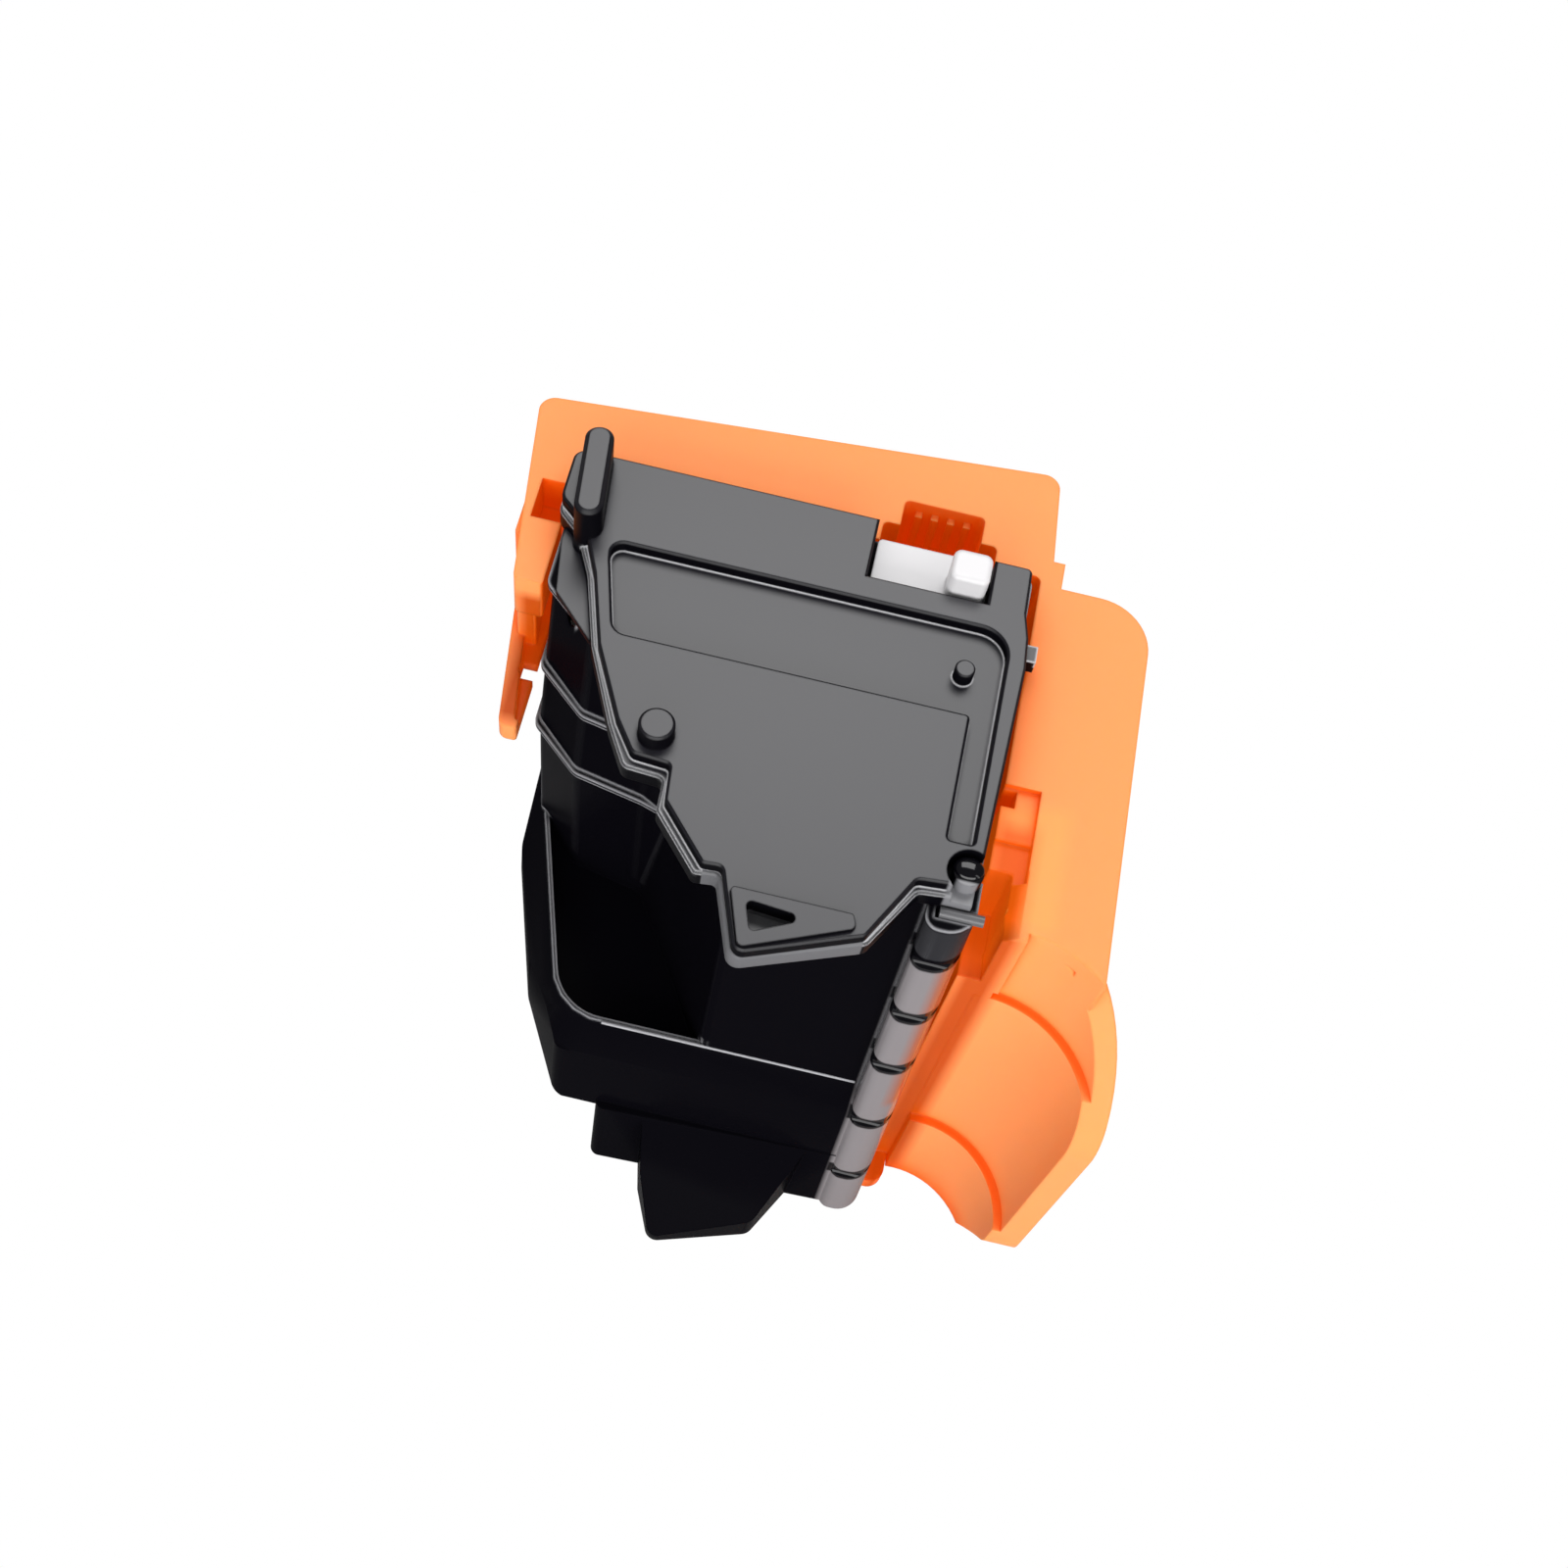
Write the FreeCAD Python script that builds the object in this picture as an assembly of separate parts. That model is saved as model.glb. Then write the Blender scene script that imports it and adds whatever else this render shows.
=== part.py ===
import FreeCAD, Part
import math
import os

# A plug-in inkjet printhead with its protective cap clipped on.
# Millimetres, +Z up. X runs across the lid, -Y is the front, and the origin is on the
# surface that the cap stands on, under the middle of the lid's width.

Vec = FreeCAD.Vector

# Heights of the head
HOUSING_BOTTOM = 4.0     # underside of the housing above the cap's underside
SNOUT_TOP = 14.0         # where the narrow snout meets the tapered lower body
LEDGE_HEIGHT = 28.0      # front ledge below the lid's tongue
RIM_HEIGHT = 60.0        # welded rim that carries the lid
LID_THICKNESS = 3.0
LID_TOP = RIM_HEIGHT + LID_THICKNESS

# Plan of the housing
HOUSING_LEFT = -18.8
HOUSING_RIGHT = 19.0
HOUSING_BACK = 14.6
WALL = 1.6               # moulded wall round the ink chamber
FRONT_LEAN = math.tan(math.radians(6.5))     # the front walls lean out towards the bottom
CORNER_LEAN = math.tan(math.radians(17.0))   # the ribbed left corner leans more
CORNER_DROP = 15.5       # but only this far below the rim
BEHIND = 40.0            # any length that reaches past the head
BODY_LEFT = -19.7        # the lower body stands a little proud of the upper one
BODY_FRONT = -17.6       # fronts are given at the rim's height and lean out below it
PIER_FRONT = -16.2
SNOUT_LEFT = -7.5
SNOUT_RIGHT = 18.8
SLOPE_FOOT = -10.8       # where the lower body's sloping left side meets the snout
SLOPE_TOP = 21.5

# Outlines of the leaning walls as (x, y, corner radius), at the rim's height
LEFT_CORNER = ((HOUSING_LEFT, BEHIND, 0), (HOUSING_LEFT, 4.5, 1.2), (-14.6, 0.6, 1.5),
               (-8.5, -0.6, 2.0), (-2.5, -3.8, 0), (-2.5, BEHIND, 0))
PIER = ((-9.5, BEHIND, 0), (-9.5, 1.0, 0), (-2.5, -10.0, 0), (1.0, PIER_FRONT, 1.0),
        (HOUSING_RIGHT, PIER_FRONT, 0.8), (HOUSING_RIGHT, BEHIND, 0))
LOWER_BODY = ((BODY_LEFT, BEHIND, 0), (BODY_LEFT, 0.4, 3.0), (-15.9, -10.9, 2.5), (-11.6, BODY_FRONT, 1.2),
              (HOUSING_RIGHT, BODY_FRONT, 1.8), (HOUSING_RIGHT, BEHIND, 0))
SNOUT = ((SNOUT_LEFT, BEHIND, 0), (SNOUT_LEFT, BODY_FRONT - 0.8, 0.9), (SNOUT_RIGHT, BODY_FRONT, 1.8),
         (SNOUT_RIGHT, BEHIND, 0))

# Ribbed corners
COLUMN_LEFT = 15.4
COLUMN_RADIUS = 2.2
COLUMN_FRONT = -18.2
COLUMN_DEPTH = 4.6
COLUMN_PROUD = 0.25
GROOVE_RADIUS = 0.55
GROOVE_DROPS = (5.5, 14.5, 24.0, 35.5, 47.5)             # grooves, measured down from the rim
FLANGES = ((0.0, 1.0), (9.0, 0.55), (15.5, 0.55))        # drop below the rim and reach of each fin
FLANGE_THICKNESS = 0.6
FLANGE_SIDE = 0.28       # how far a fin stands out on the left wall, clear of the cap
FLANGE_END = -6.0        # where a fin dies into the corner's last facet

# Front ledge: a shallow tray with a slim rim, and a brow that slopes down from the rim
TRAY_DEPTH = 3.0
TRAY_CORNER = (-11.9, -19.35, 5.0)
TRAY_LEFT_BACK = (-18.5, 1.4)        # the tray's left edge runs from here to the corner
RIM_WIDTH = 0.35
BROW_DROP = 4.0
BROW_RUN_LEFT = 2.9
BROW_RUN_FRONT = 2.1
BROW_STEPS = 4           # facets round the corner

# Front latch nose
NOSE_HEIGHT = 11.0
NOSE_LIP = 1.5           # height of the nose's upright front edge
NOSE_PLAN = ((-3.2, 2.0, 0), (-2.0, -3.2, 0.6), (0.1, -7.9, 1.2), (9.4, -5.0, 1.4), (13.3, 2.0, 0))

# Lid
NOTCH_LEFT = 5.6
NOTCH_RIGHT = 15.4
NOTCH_FRONT = 9.2
LID_BACK = 14.8
LID_CORNER_BACK = 13.4
LID_OUTLINE = ((-19.6, LID_BACK, 1.0), (-19.6, 9.3, 1.2), (-17.6, 7.5, 0.8), (-15.9, 4.0, 1.0),
               (-14.0, -2.2, 1.0), (-11.1, -8.5, 0.5), (-9.2, -11.8, 0.8), (-6.0, -12.0, 0.5),
               (-5.9, -14.7, 0.6), (-2.1, -19.0, 0.5), (-0.3, -18.8, 0.5), (1.9, -25.1, 1.0),
               (11.5, -21.4, 0.8), (14.4, -16.4, 0.6), (16.4, -16.2, 0), (18.6, -16.2, 0),
               (18.7, -13.0, 0), (19.3, 4.0, 1.0), (19.1, 6.8, 1.0), (18.6, 9.0, 0.6),
               (18.5, LID_CORNER_BACK, 0.5), (NOTCH_RIGHT, LID_CORNER_BACK, 0),
               (NOTCH_RIGHT, NOTCH_FRONT, 0), (NOTCH_LEFT, NOTCH_FRONT, 0), (NOTCH_LEFT, LID_BACK, 0))
DECK_OUTLINE = ((-19.6, LID_BACK, 1.0), (-19.6, 9.9, 1.2), (-17.1, 7.7, 0.8), (-15.3, 3.6, 1.0),
                (-13.4, -2.6, 1.0), (-10.5, -8.5, 0.5), (-8.7, -11.1, 0.8), (-5.7, -11.3, 0.4),
                (-5.4, -14.3, 0.6), (-1.6, -18.6, 0.5), (-0.1, -18.5, 0.5), (2.1, -24.95, 0.9),
                (11.2, -21.3, 0.7), (14.1, -15.9, 0.6), (16.4, -15.7, 0), (18.6, -15.7, 0)) + LID_OUTLINE[16:]
DECK_DROP = 1.2          # the lid's left and front edges step down to a slim flange
LID_EDGE_CHAMFER = 0.2
SKIRT = ((-18.9, 9.5, 0), (-18.9, 7.4, 0.5), (-18.1, 2.6, 0.5), (-14.2, -1.4, 0.4), (-12.0, 2.0, 0),
         (-14.0, 9.5, 0))
SKIRT_THICKNESS = 0.6
LID_PLUG_DEPTH = 1.4
PANEL_DEPTH = 1.2
PANEL = ((-14.7, 6.9, 1.0), (-14.4, 5.2, 0.6), (-12.6, -1.2, 1.2), (15.7, -1.2, 0.4),
         (15.7, -12.1, 0.3), (17.7, -12.1, 0.3), (17.7, 6.9, 2.4))
BIG_DOWEL = (-7.3, -9.1)
BIG_DOWEL_RADIUS = 1.4
BIG_DOWEL_HEIGHT = 1.7
SMALL_DOWEL = (14.6, 2.6)
SMALL_DOWEL_RADIUS = 0.8
SMALL_DOWEL_HEIGHT = 0.3
DOWEL_CHAMFER = 0.15     # as a share of the dowel's radius
KEY_POST_BACK = (-17.5, 13.8)
KEY_POST_FRONT = (-16.8, 7.6)
KEY_POST_RADIUS = 1.15
KEY_POST_HEIGHT = 3.5
KEY_POST_BEVEL = 0.3     # as a share of its radius
TONGUE_PAD = ((0.8, -20.0, 0.3), (2.3, -24.6, 0.5), (10.4, -21.1, 0.5), (10.0, -20.0, 0.3))
TONGUE_PAD_HEIGHT = 0.45
VENT_CUT = ((2.1, -20.8, 0.4), (2.9, -23.2, 0.4), (7.0, -21.2, 0.4))
VENT_CUT_DEPTH = 2.2
WEB_LEFT = 5.2           # gusset under the tongue
WEB_THICKNESS = 1.6
WEB_REACH = 6.6
WEB_DEPTH = 7.0
HOOK_CENTRE = (17.8, -14.3)
HOOK_RADIUS = 1.75
HOOK_MOUTH = 0.9
HOOK_BOSS_RADIUS = 1.15
HOOK_DEPTH = 2.0
HOOK_PIN_RADIUS = 0.45
HOOK_PIN_LENGTH = 3.4
HOOK_PIN_Y = -16.7
LUG = (19.0, 20.1, 5.4, 6.9)         # small stop on the lid's right edge: x and y limits
LUG_RISE = 0.4
LUG_HEIGHT = 1.5

# Ink path
CLEARANCE = 0.05         # between pieces that are pressed or set into each other
SOFT_GAP = 0.3           # between a soft piece and what it rests against
CHAMBER_FRONT = 1.4
CHAMBER_FLOOR = 30.0
SUMP_LEFT = 1.5
SUMP_RIGHT = 12.5
SUMP_FRONT = 3.0
SUMP_BACK = 11.0
SUMP_FLOOR = 12.0
FEED_SLOT = (4.0, 10.0, 6.0, 8.0)
SCREEN_THICKNESS = 0.2
FRAME_THICKNESS = 1.2
FRAME_RIM = 1.2
INLET_X = 13.5
INLET_Y = 11.0
INLET_BORE_RADIUS = 0.9
SPIGOT_RADIUS = 1.35
GROMMET_RADIUS = 2.1
GROMMET_HEIGHT = 2.6
FITTING_PLATE = 1.0
BRIDGE_THICKNESS = 0.6   # below the grommet
TOWER_WIDTH = 3.2
TOWER_DEPTH = 2.9
TOWER_RISE = 2.0         # above the lid
TOWER_TOP = LID_TOP + TOWER_RISE
FEED_TUBE_RADIUS = 1.3
FEED_TUBE_LENGTH = 3.0
VENT_X = 4.2
VENT_Y = -13.0
VENT_RADIUS = 2.0
MEMBRANE_THICKNESS = 0.2

# Nozzle end
MANIFOLD = (0.5, 13.5, 2.6, 11.4)
MANIFOLD_THICKNESS = 1.6
GASKET_THICKNESS = 0.8
GASKET_RIM = 1.0
DIE = (2.5, 11.5, 5.9, 8.1)
DIE_THICKNESS = 0.5
ORIFICE_THICKNESS = 0.1
ORIFICE_OVERHANG = 0.5
FLEX_THICKNESS = 0.15
FLEX_LEFT = -2.0
FLEX_RIGHT = 16.0
FLEX_FRONT = 1.0
FLEX_BEND = 1.0
FLEX_TOP = RIM_HEIGHT - 16.0
PAD_COLUMNS = 6
PAD_ROWS = 5
PAD_WIDTH = 1.8
PAD_HEIGHT = 1.3
PAD_PITCH_X = 2.7
PAD_PITCH_Z = 3.4
PAD_THICKNESS = 0.12
PAD_CENTRE_Z = LEDGE_HEIGHT
BEAD_WIDTH = 1.0

# Cap
CAP_WALL = 1.8
CAP_FLOOR = 2.0
CAP_GAP = 0.7            # between the head's walls and the cap's walls
INNER_LEFT = HOUSING_LEFT - CAP_GAP
INNER_RIGHT = HOUSING_RIGHT + CAP_GAP
INNER_BACK = HOUSING_BACK + CAP_GAP
SEAL_LIP = 0.9
COLLAR_DROP = 0.6        # the collar's top below the rim
COLLAR_TOP = RIM_HEIGHT - COLLAR_DROP
COLLAR_THICKNESS = 2.0
COLLAR_LIP = 5.0
COLLAR_BACK_LEFT = (-24.4, 21.7)
COLLAR_BACK_RIGHT = (19.9, 25.8)
COLLAR_LEFT_END = (-21.9, 3.6)
LOBE_BACK = 14.6
LOBE_RIGHT = 29.3
LOBE_CORNER = 4.5
LOBE_TIP = (29.7, -21.0)
SLOT = (-22.1, 9.7, 13.6)            # blind slot in the collar's left arm: left side, front and back
SLOT_DEPTH = 4.0
CHEEK_TOP = COLLAR_TOP - 8.9
CHEEK_HEIGHT = 2.2
CHEEK_HOLLOW = 1.2
CHEEK_BACK_X = -24.2
CHEEK_FRONT = (-21.0, -4.9)
CHEEK_RIM = 1.2
CHEEK_HOLE = (-20.7, 0.4, 1.9)       # drain hole through the tray: left side, front and back
ARM_BACK_X = -23.4                   # wall between the collar's left arm and the tray
ARM_THICKNESS = 1.6
STEP_BACK = -11.4        # where the right wall's top drops and the collar's edge moves out
STEP_TOP = COLLAR_TOP - 9.4
STEP_REACH = 7.0         # shallow recesses in the collar, behind the step
STEP_RECESS = 0.6
STEP_REACH_DEEP = 2.4
STEP_RECESS_DEEP = 1.1
STEP_HOLE = (1.1, -6.1, -4.6, 4.0)   # width, front, back and depth of the small well beside the wall
RISER_LEFT = 21.6
RISER_SLOPE = 1.2
GRIP_CENTRE = (22.5, -26.5)
GRIP_OUTER = 11.7
GRIP_FOOT_TIER = 15.5
GRIP_HEAD_TIER = COLLAR_TOP - 12.4
GRIP_TIERS = ((0.0, GRIP_FOOT_TIER, 8.6), (GRIP_FOOT_TIER, GRIP_HEAD_TIER, 9.4),
              (GRIP_HEAD_TIER, COLLAR_TOP, 10.1))
GRIP_START = 95.0
GRIP_END = -4.0
GRIP_EDGE = -26.4        # the grip's free edge, rounded off above and below
GRIP_EDGE_HIGH = COLLAR_TOP - 16.4
GRIP_EDGE_LOW = 11.0
GRIP_ROUND = 9.0
POCKET = (6.0, 15.7, 15.4, 19.8)
POCKET_DEPTH = 6.0
POCKET_SHOULDER = 1.4
POCKET_SHOULDER_DEPTH = 1.8
POCKET_RIBS = 4
POCKET_RIB = 0.6
BACK_GUSSETS = (-15.0, -2.0, 18.6)
LOBE_GUSSETS = (9.0, -2.2)
GUSSET_THICKNESS = 1.4
GUSSET_FOOT = 1.4
GUSSET_DROP = 9.0
GUSSET_REACH = 5.0
FLOOR_FRONT = -20.5
CUSHION_DEPTH = 0.9      # how far the contact cushion is let into the cap's back wall


def box(x0, x1, y0, y1, z0, z1):
    return Part.makeBox(x1 - x0, y1 - y0, z1 - z0, Vec(x0, y0, z0))


def rod(radius, height, x, y, z):
    return Part.makeCylinder(radius, height, Vec(x, y, z))


def rounded_wire(corners, z):
    """Closed wire through (x, y, radius) corners, each radius a tangent arc."""
    points = [Vec(x, y, z) for x, y, radius in corners]
    turns = []
    for index, (x, y, radius) in enumerate(corners):
        here = points[index]
        if radius <= 0:
            turns.append((here, None, here))
            continue
        back = (points[index - 1] - here).normalize()
        ahead = (points[(index + 1) % len(points)] - here).normalize()
        half = back.getAngle(ahead) / 2
        run = radius / math.tan(half)
        middle = here + (back + ahead).normalize() * (radius / math.sin(half) - radius)
        turns.append((here + back * run, middle, here + ahead * run))
    edges = []
    for index, (start, middle, end) in enumerate(turns):
        if middle is not None:
            edges.append(Part.Arc(start, middle, end).toShape())
        edges.append(Part.makeLine(end, turns[(index + 1) % len(turns)][0]))
    return Part.Wire(edges)


def prism(corners, z0, z1):
    return Part.Face(rounded_wire(corners, z0)).extrude(Vec(0, 0, z1 - z0))


def leaning(corners, z0, z1, lean):
    """Prism of an outline given at the rim's height that slides forward below it, edges rounded."""
    foot = [Vec(x, y - lean * (RIM_HEIGHT - z0), z0) for x, y, _ in corners]
    solid = Part.Face(Part.makePolygon(foot + foot[:1])).extrude(Vec(0, lean * (z1 - z0), z1 - z0))
    for point, (_, _, radius) in zip(foot, corners):
        if radius > 0:
            edges = [edge for edge in solid.Edges if edge.BoundBox.ZLength > (z1 - z0) / 2
                     and min(vertex.Point.distanceToPoint(point) for vertex in edge.Vertexes) < 0.001]
            solid = solid.makeFillet(radius, edges)
    return solid


def rectangle(x0, x1, y0, y1, radius):
    return [(x0, y0, radius), (x1, y0, radius), (x1, y1, radius), (x0, y1, radius)]


def side_prism(corners, x0, x1):
    """Prism along X of an outline given as (y, z, radius) corners."""
    solid = prism(corners, x0, x1)
    solid.rotate(Vec(0, 0, 0), Vec(1, 1, 1), 120)
    return solid


def front_prism(corners, y0, y1):
    """Prism along Y of an outline given as (z, x, radius) corners."""
    solid = prism(corners, y0, y1)
    solid.rotate(Vec(0, 0, 0), Vec(1, 1, 1), -120)
    return solid


def front_at(z, y_at_rim):
    return y_at_rim - FRONT_LEAN * (RIM_HEIGHT - z)


def upper_body():
    """Housing above the ledge: a left corner that leans only high up, and a pier under the tongue."""
    z0 = LEDGE_HEIGHT - TRAY_DEPTH - 1.0
    kink = RIM_HEIGHT - CORNER_DROP
    envelope = prism(rectangle(HOUSING_LEFT, HOUSING_RIGHT, -BEHIND, HOUSING_BACK, 1.0), z0, RIM_HEIGHT)
    upright = [(x, y - CORNER_LEAN * CORNER_DROP, radius) for x, y, radius in LEFT_CORNER]
    corner = leaning(LEFT_CORNER, kink, RIM_HEIGHT, CORNER_LEAN).fuse(leaning(upright, z0, kink, 0.0))
    return corner.fuse(leaning(PIER, z0, RIM_HEIGHT, FRONT_LEAN)).common(envelope)


def brow_outline(run_left, run_front, z):
    """Polygon round the ledge's rim, its sides moved outwards by a run that changes round the corner."""
    corner_x, corner_y, radius = TRAY_CORNER
    left_x, left_y = TRAY_LEFT_BACK
    along = Vec(corner_x - left_x, corner_y - left_y, 0).normalize()
    turn = along.getAngle(Vec(1, 0, 0))
    centre = (Vec(corner_x, corner_y, 0) - along * radius * math.tan(turn / 2)
              + Vec(-along.y, along.x, 0) * radius)
    sides = [(Vec(0, 1, 0), BEHIND)]
    for step in range(BROW_STEPS + 1):
        share = step / BROW_STEPS
        spin = FreeCAD.Rotation(Vec(0, 0, 1), math.degrees(turn * share))
        outward = spin.multVec(Vec(along.y, -along.x, 0))
        run = run_left + (run_front - run_left) * share
        sides.append((outward, centre.dot(outward) + radius + RIM_WIDTH + run))
    sides.append((Vec(1, 0, 0), COLUMN_LEFT + 1.0))
    corners = []
    for (n1, d1), (n2, d2) in zip(sides, sides[1:] + sides[:1]):
        spread = n1.x * n2.y - n1.y * n2.x
        corners.append(Vec((d1 * n2.y - d2 * n1.y) / spread, (d2 * n1.x - d1 * n2.x) / spread, z))
    return corners


def brow():
    """Solid under the rim whose left and front sides slope outwards below it."""
    top = brow_outline(0.0, 0.0, LEDGE_HEIGHT)
    foot = brow_outline(BROW_RUN_LEFT, BROW_RUN_FRONT, LEDGE_HEIGHT - BROW_DROP)
    outlines = [top, foot]
    for index in range(len(top)):
        outlines.append([foot[index - 1], foot[index], top[index], top[index - 1]])
    faces = [Part.Face(Part.makePolygon(points + points[:1])) for points in outlines]
    return Part.makeSolid(Part.makeShell(faces))


def lower_body():
    """Housing between the snout and the ledge: its left side slopes in towards the snout."""
    profile = front_prism([(SNOUT_TOP, SLOPE_FOOT, 0), (SLOPE_TOP, BODY_LEFT, 0), (LEDGE_HEIGHT, BODY_LEFT, 0),
                           (LEDGE_HEIGHT, HOUSING_RIGHT, 0), (SNOUT_TOP, HOUSING_RIGHT, 0)],
                          -BEHIND, HOUSING_BACK)
    outside = box(-BEHIND, COLUMN_LEFT + 1.0, -BEHIND, BEHIND, LEDGE_HEIGHT - BROW_DROP, LEDGE_HEIGHT).cut(brow())
    return leaning(LOWER_BODY, SNOUT_TOP, LEDGE_HEIGHT, FRONT_LEAN).common(profile).cut(outside)


def snout():
    z1 = SNOUT_TOP + 1.0
    envelope = prism(rectangle(SNOUT_LEFT, SNOUT_RIGHT, -BEHIND, HOUSING_BACK, 0.8), HOUSING_BOTTOM, z1)
    return leaning(SNOUT, HOUSING_BOTTOM, z1, FRONT_LEAN).common(envelope)


def corner_column():
    """Rounded corner post at the front right, cut by level U grooves."""
    right = HOUSING_RIGHT + COLUMN_PROUD
    column = leaning([(COLUMN_LEFT, COLUMN_FRONT, 1.2), (right, COLUMN_FRONT, COLUMN_RADIUS),
                      (right, COLUMN_FRONT + COLUMN_DEPTH, 0), (COLUMN_LEFT, COLUMN_FRONT + COLUMN_DEPTH, 0)],
                     HOUSING_BOTTOM, RIM_HEIGHT, FRONT_LEAN)
    for drop in GROOVE_DROPS:
        z = RIM_HEIGHT - drop
        front = front_at(z, COLUMN_FRONT)
        across = Part.makeCylinder(GROOVE_RADIUS, right - COLUMN_LEFT + 2.0,
                                   Vec(COLUMN_LEFT - 1.0, front, z), Vec(1, 0, 0))
        along = Part.makeCylinder(GROOVE_RADIUS, COLUMN_DEPTH, Vec(right, front + 0.4, z), Vec(0, 1, 0))
        column = column.cut(across.fuse(along))
    return column


def facet_flanges():
    """Level fins that wrap the leaning left corner and die into its last facet."""
    side = HOUSING_LEFT - FLANGE_SIDE
    (_, back_y, back_radius), (turn_x, turn_y, turn_radius), (end_x, end_y, end_radius), last = LEFT_CORNER[1:5]
    rise = (last[1] - end_y) / (last[0] - end_x)
    fins = []
    for rim_drop, reach in FLANGES:
        z = RIM_HEIGHT - rim_drop
        slide = CORNER_LEAN * rim_drop
        shift = slide + reach
        fins.append(prism([(side, back_y + 6.0, 0.3), (side, back_y - shift, back_radius),
                           (turn_x, turn_y - shift, turn_radius), (end_x, end_y - shift, end_radius),
                           (FLANGE_END, end_y + rise * (FLANGE_END - end_x) - slide, 0),
                           (FLANGE_END, back_y, 0.3)], z - FLANGE_THICKNESS, z))
    return fins


def latch_nose():
    """Wedge on the front of the snout that a carriage latch bears on."""
    wall = front_at(HOUSING_BOTTOM, BODY_FRONT)
    top = HOUSING_BOTTOM + NOSE_HEIGHT
    tip = wall + min(y for _, y, _ in NOSE_PLAN)
    plan = prism([(x, wall + y, radius) for x, y, radius in NOSE_PLAN], HOUSING_BOTTOM, top)
    profile = side_prism([(wall + 3.0, HOUSING_BOTTOM, 0), (wall + 3.0, top, 0),
                          (front_at(top, BODY_FRONT), top, 0), (tip, HOUSING_BOTTOM + NOSE_LIP, 0),
                          (tip, HOUSING_BOTTOM, 0)], NOSE_PLAN[0][0] - 1.0, NOSE_PLAN[-1][0] + 1.0)
    return plan.common(profile)


def ledge_tray():
    """Shallow tray let into the ledge: a round-cornered recess with a slim rim."""
    _, corner_y, _ = TRAY_CORNER
    left_x, left_y = TRAY_LEFT_BACK
    return prism([(left_x, left_y, 0.3), TRAY_CORNER, (COLUMN_LEFT, corner_y, 0.4), (COLUMN_LEFT, left_y, 0.4)],
                 LEDGE_HEIGHT - TRAY_DEPTH, LEDGE_HEIGHT + 1.0)


def chamber():
    main = prism(rectangle(HOUSING_LEFT + WALL, HOUSING_RIGHT - WALL, CHAMBER_FRONT,
                           HOUSING_BACK - WALL, 1.5), CHAMBER_FLOOR, RIM_HEIGHT + 1.0)
    sump = prism(rectangle(SUMP_LEFT, SUMP_RIGHT, SUMP_FRONT, SUMP_BACK, 1.5),
                 SUMP_FLOOR, CHAMBER_FLOOR + 1.0)
    seat = prism(rectangle(SUMP_LEFT - FRAME_RIM, SUMP_RIGHT + FRAME_RIM,
                           SUMP_FRONT - FRAME_RIM, SUMP_BACK + FRAME_RIM, 1.5),
                 CHAMBER_FLOOR - FRAME_THICKNESS, CHAMBER_FLOOR + 1.0)
    x0, x1, y0, y1 = FEED_SLOT
    slot = box(x0, x1, y0, y1, HOUSING_BOTTOM - 1.0, SUMP_FLOOR + 1.0)
    x0, x1, y0, y1 = MANIFOLD
    recess = box(x0 - CLEARANCE, x1 + CLEARANCE, y0 - CLEARANCE, y1 + CLEARANCE,
                 HOUSING_BOTTOM - 1.0, HOUSING_BOTTOM + MANIFOLD_THICKNESS + GASKET_THICKNESS)
    return main.fuse([sump, seat, slot, recess])


def back_edge_round():
    """What the round at the snout's lower back edge takes away, for the flex circuit's bend."""
    reach = FLEX_BEND + 1.0
    corner = box(SNOUT_LEFT - 1.0, HOUSING_RIGHT + 1.0, HOUSING_BACK - FLEX_BEND, HOUSING_BACK + reach,
                 HOUSING_BOTTOM - reach, HOUSING_BOTTOM + FLEX_BEND)
    round_bar = Part.makeCylinder(FLEX_BEND, HOUSING_RIGHT - SNOUT_LEFT + 4.0,
                                  Vec(SNOUT_LEFT - 2.0, HOUSING_BACK - FLEX_BEND, HOUSING_BOTTOM + FLEX_BEND),
                                  Vec(1, 0, 0))
    return corner.cut(round_bar)


def housing():
    body = lower_body().cut(ledge_tray())
    body = body.fuse([upper_body(), snout(), corner_column(), latch_nose()] + facet_flanges())
    body = body.cut([chamber(), vent_pocket(), back_edge_round()]).fuse(inlet_bridge()).cut(inlet_socket())
    pin_groove = Part.makeCylinder(HOOK_PIN_RADIUS + CLEARANCE, HOOK_PIN_LENGTH + 1.0,
                                   Vec(HOOK_CENTRE[0] - HOOK_PIN_LENGTH / 2, HOOK_PIN_Y, RIM_HEIGHT),
                                   Vec(1, 0, 0))
    return body.cut(pin_groove).removeSplitter()


def key_post():
    (x0, y0), (x1, y1) = KEY_POST_FRONT, KEY_POST_BACK
    length = math.hypot(x1 - x0, y1 - y0)
    turn = math.degrees(math.atan2(y1 - y0, x1 - x0))
    slab = box(0, length, -KEY_POST_RADIUS, KEY_POST_RADIUS, 0, LID_THICKNESS + KEY_POST_HEIGHT)
    post = slab.fuse([rod(KEY_POST_RADIUS, LID_THICKNESS + KEY_POST_HEIGHT, end, 0, 0)
                      for end in (0, length)]).removeSplitter()
    top = [edge for edge in post.Edges
           if edge.BoundBox.ZMin > LID_THICKNESS + KEY_POST_HEIGHT - 0.01]
    post = post.makeChamfer(KEY_POST_RADIUS * KEY_POST_BEVEL, top)
    post.rotate(Vec(0, 0, 0), Vec(0, 0, 1), turn)
    post.translate(Vec(x0, y0, RIM_HEIGHT))
    return post


def dowel(place, radius, height):
    x, y = place
    pin = rod(radius, height + PANEL_DEPTH, x, y, LID_TOP - PANEL_DEPTH)
    rim = [edge for edge in pin.Edges if edge.BoundBox.ZMin > LID_TOP + height - 0.01]
    return pin.makeChamfer(radius * DOWEL_CHAMFER, rim)


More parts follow.
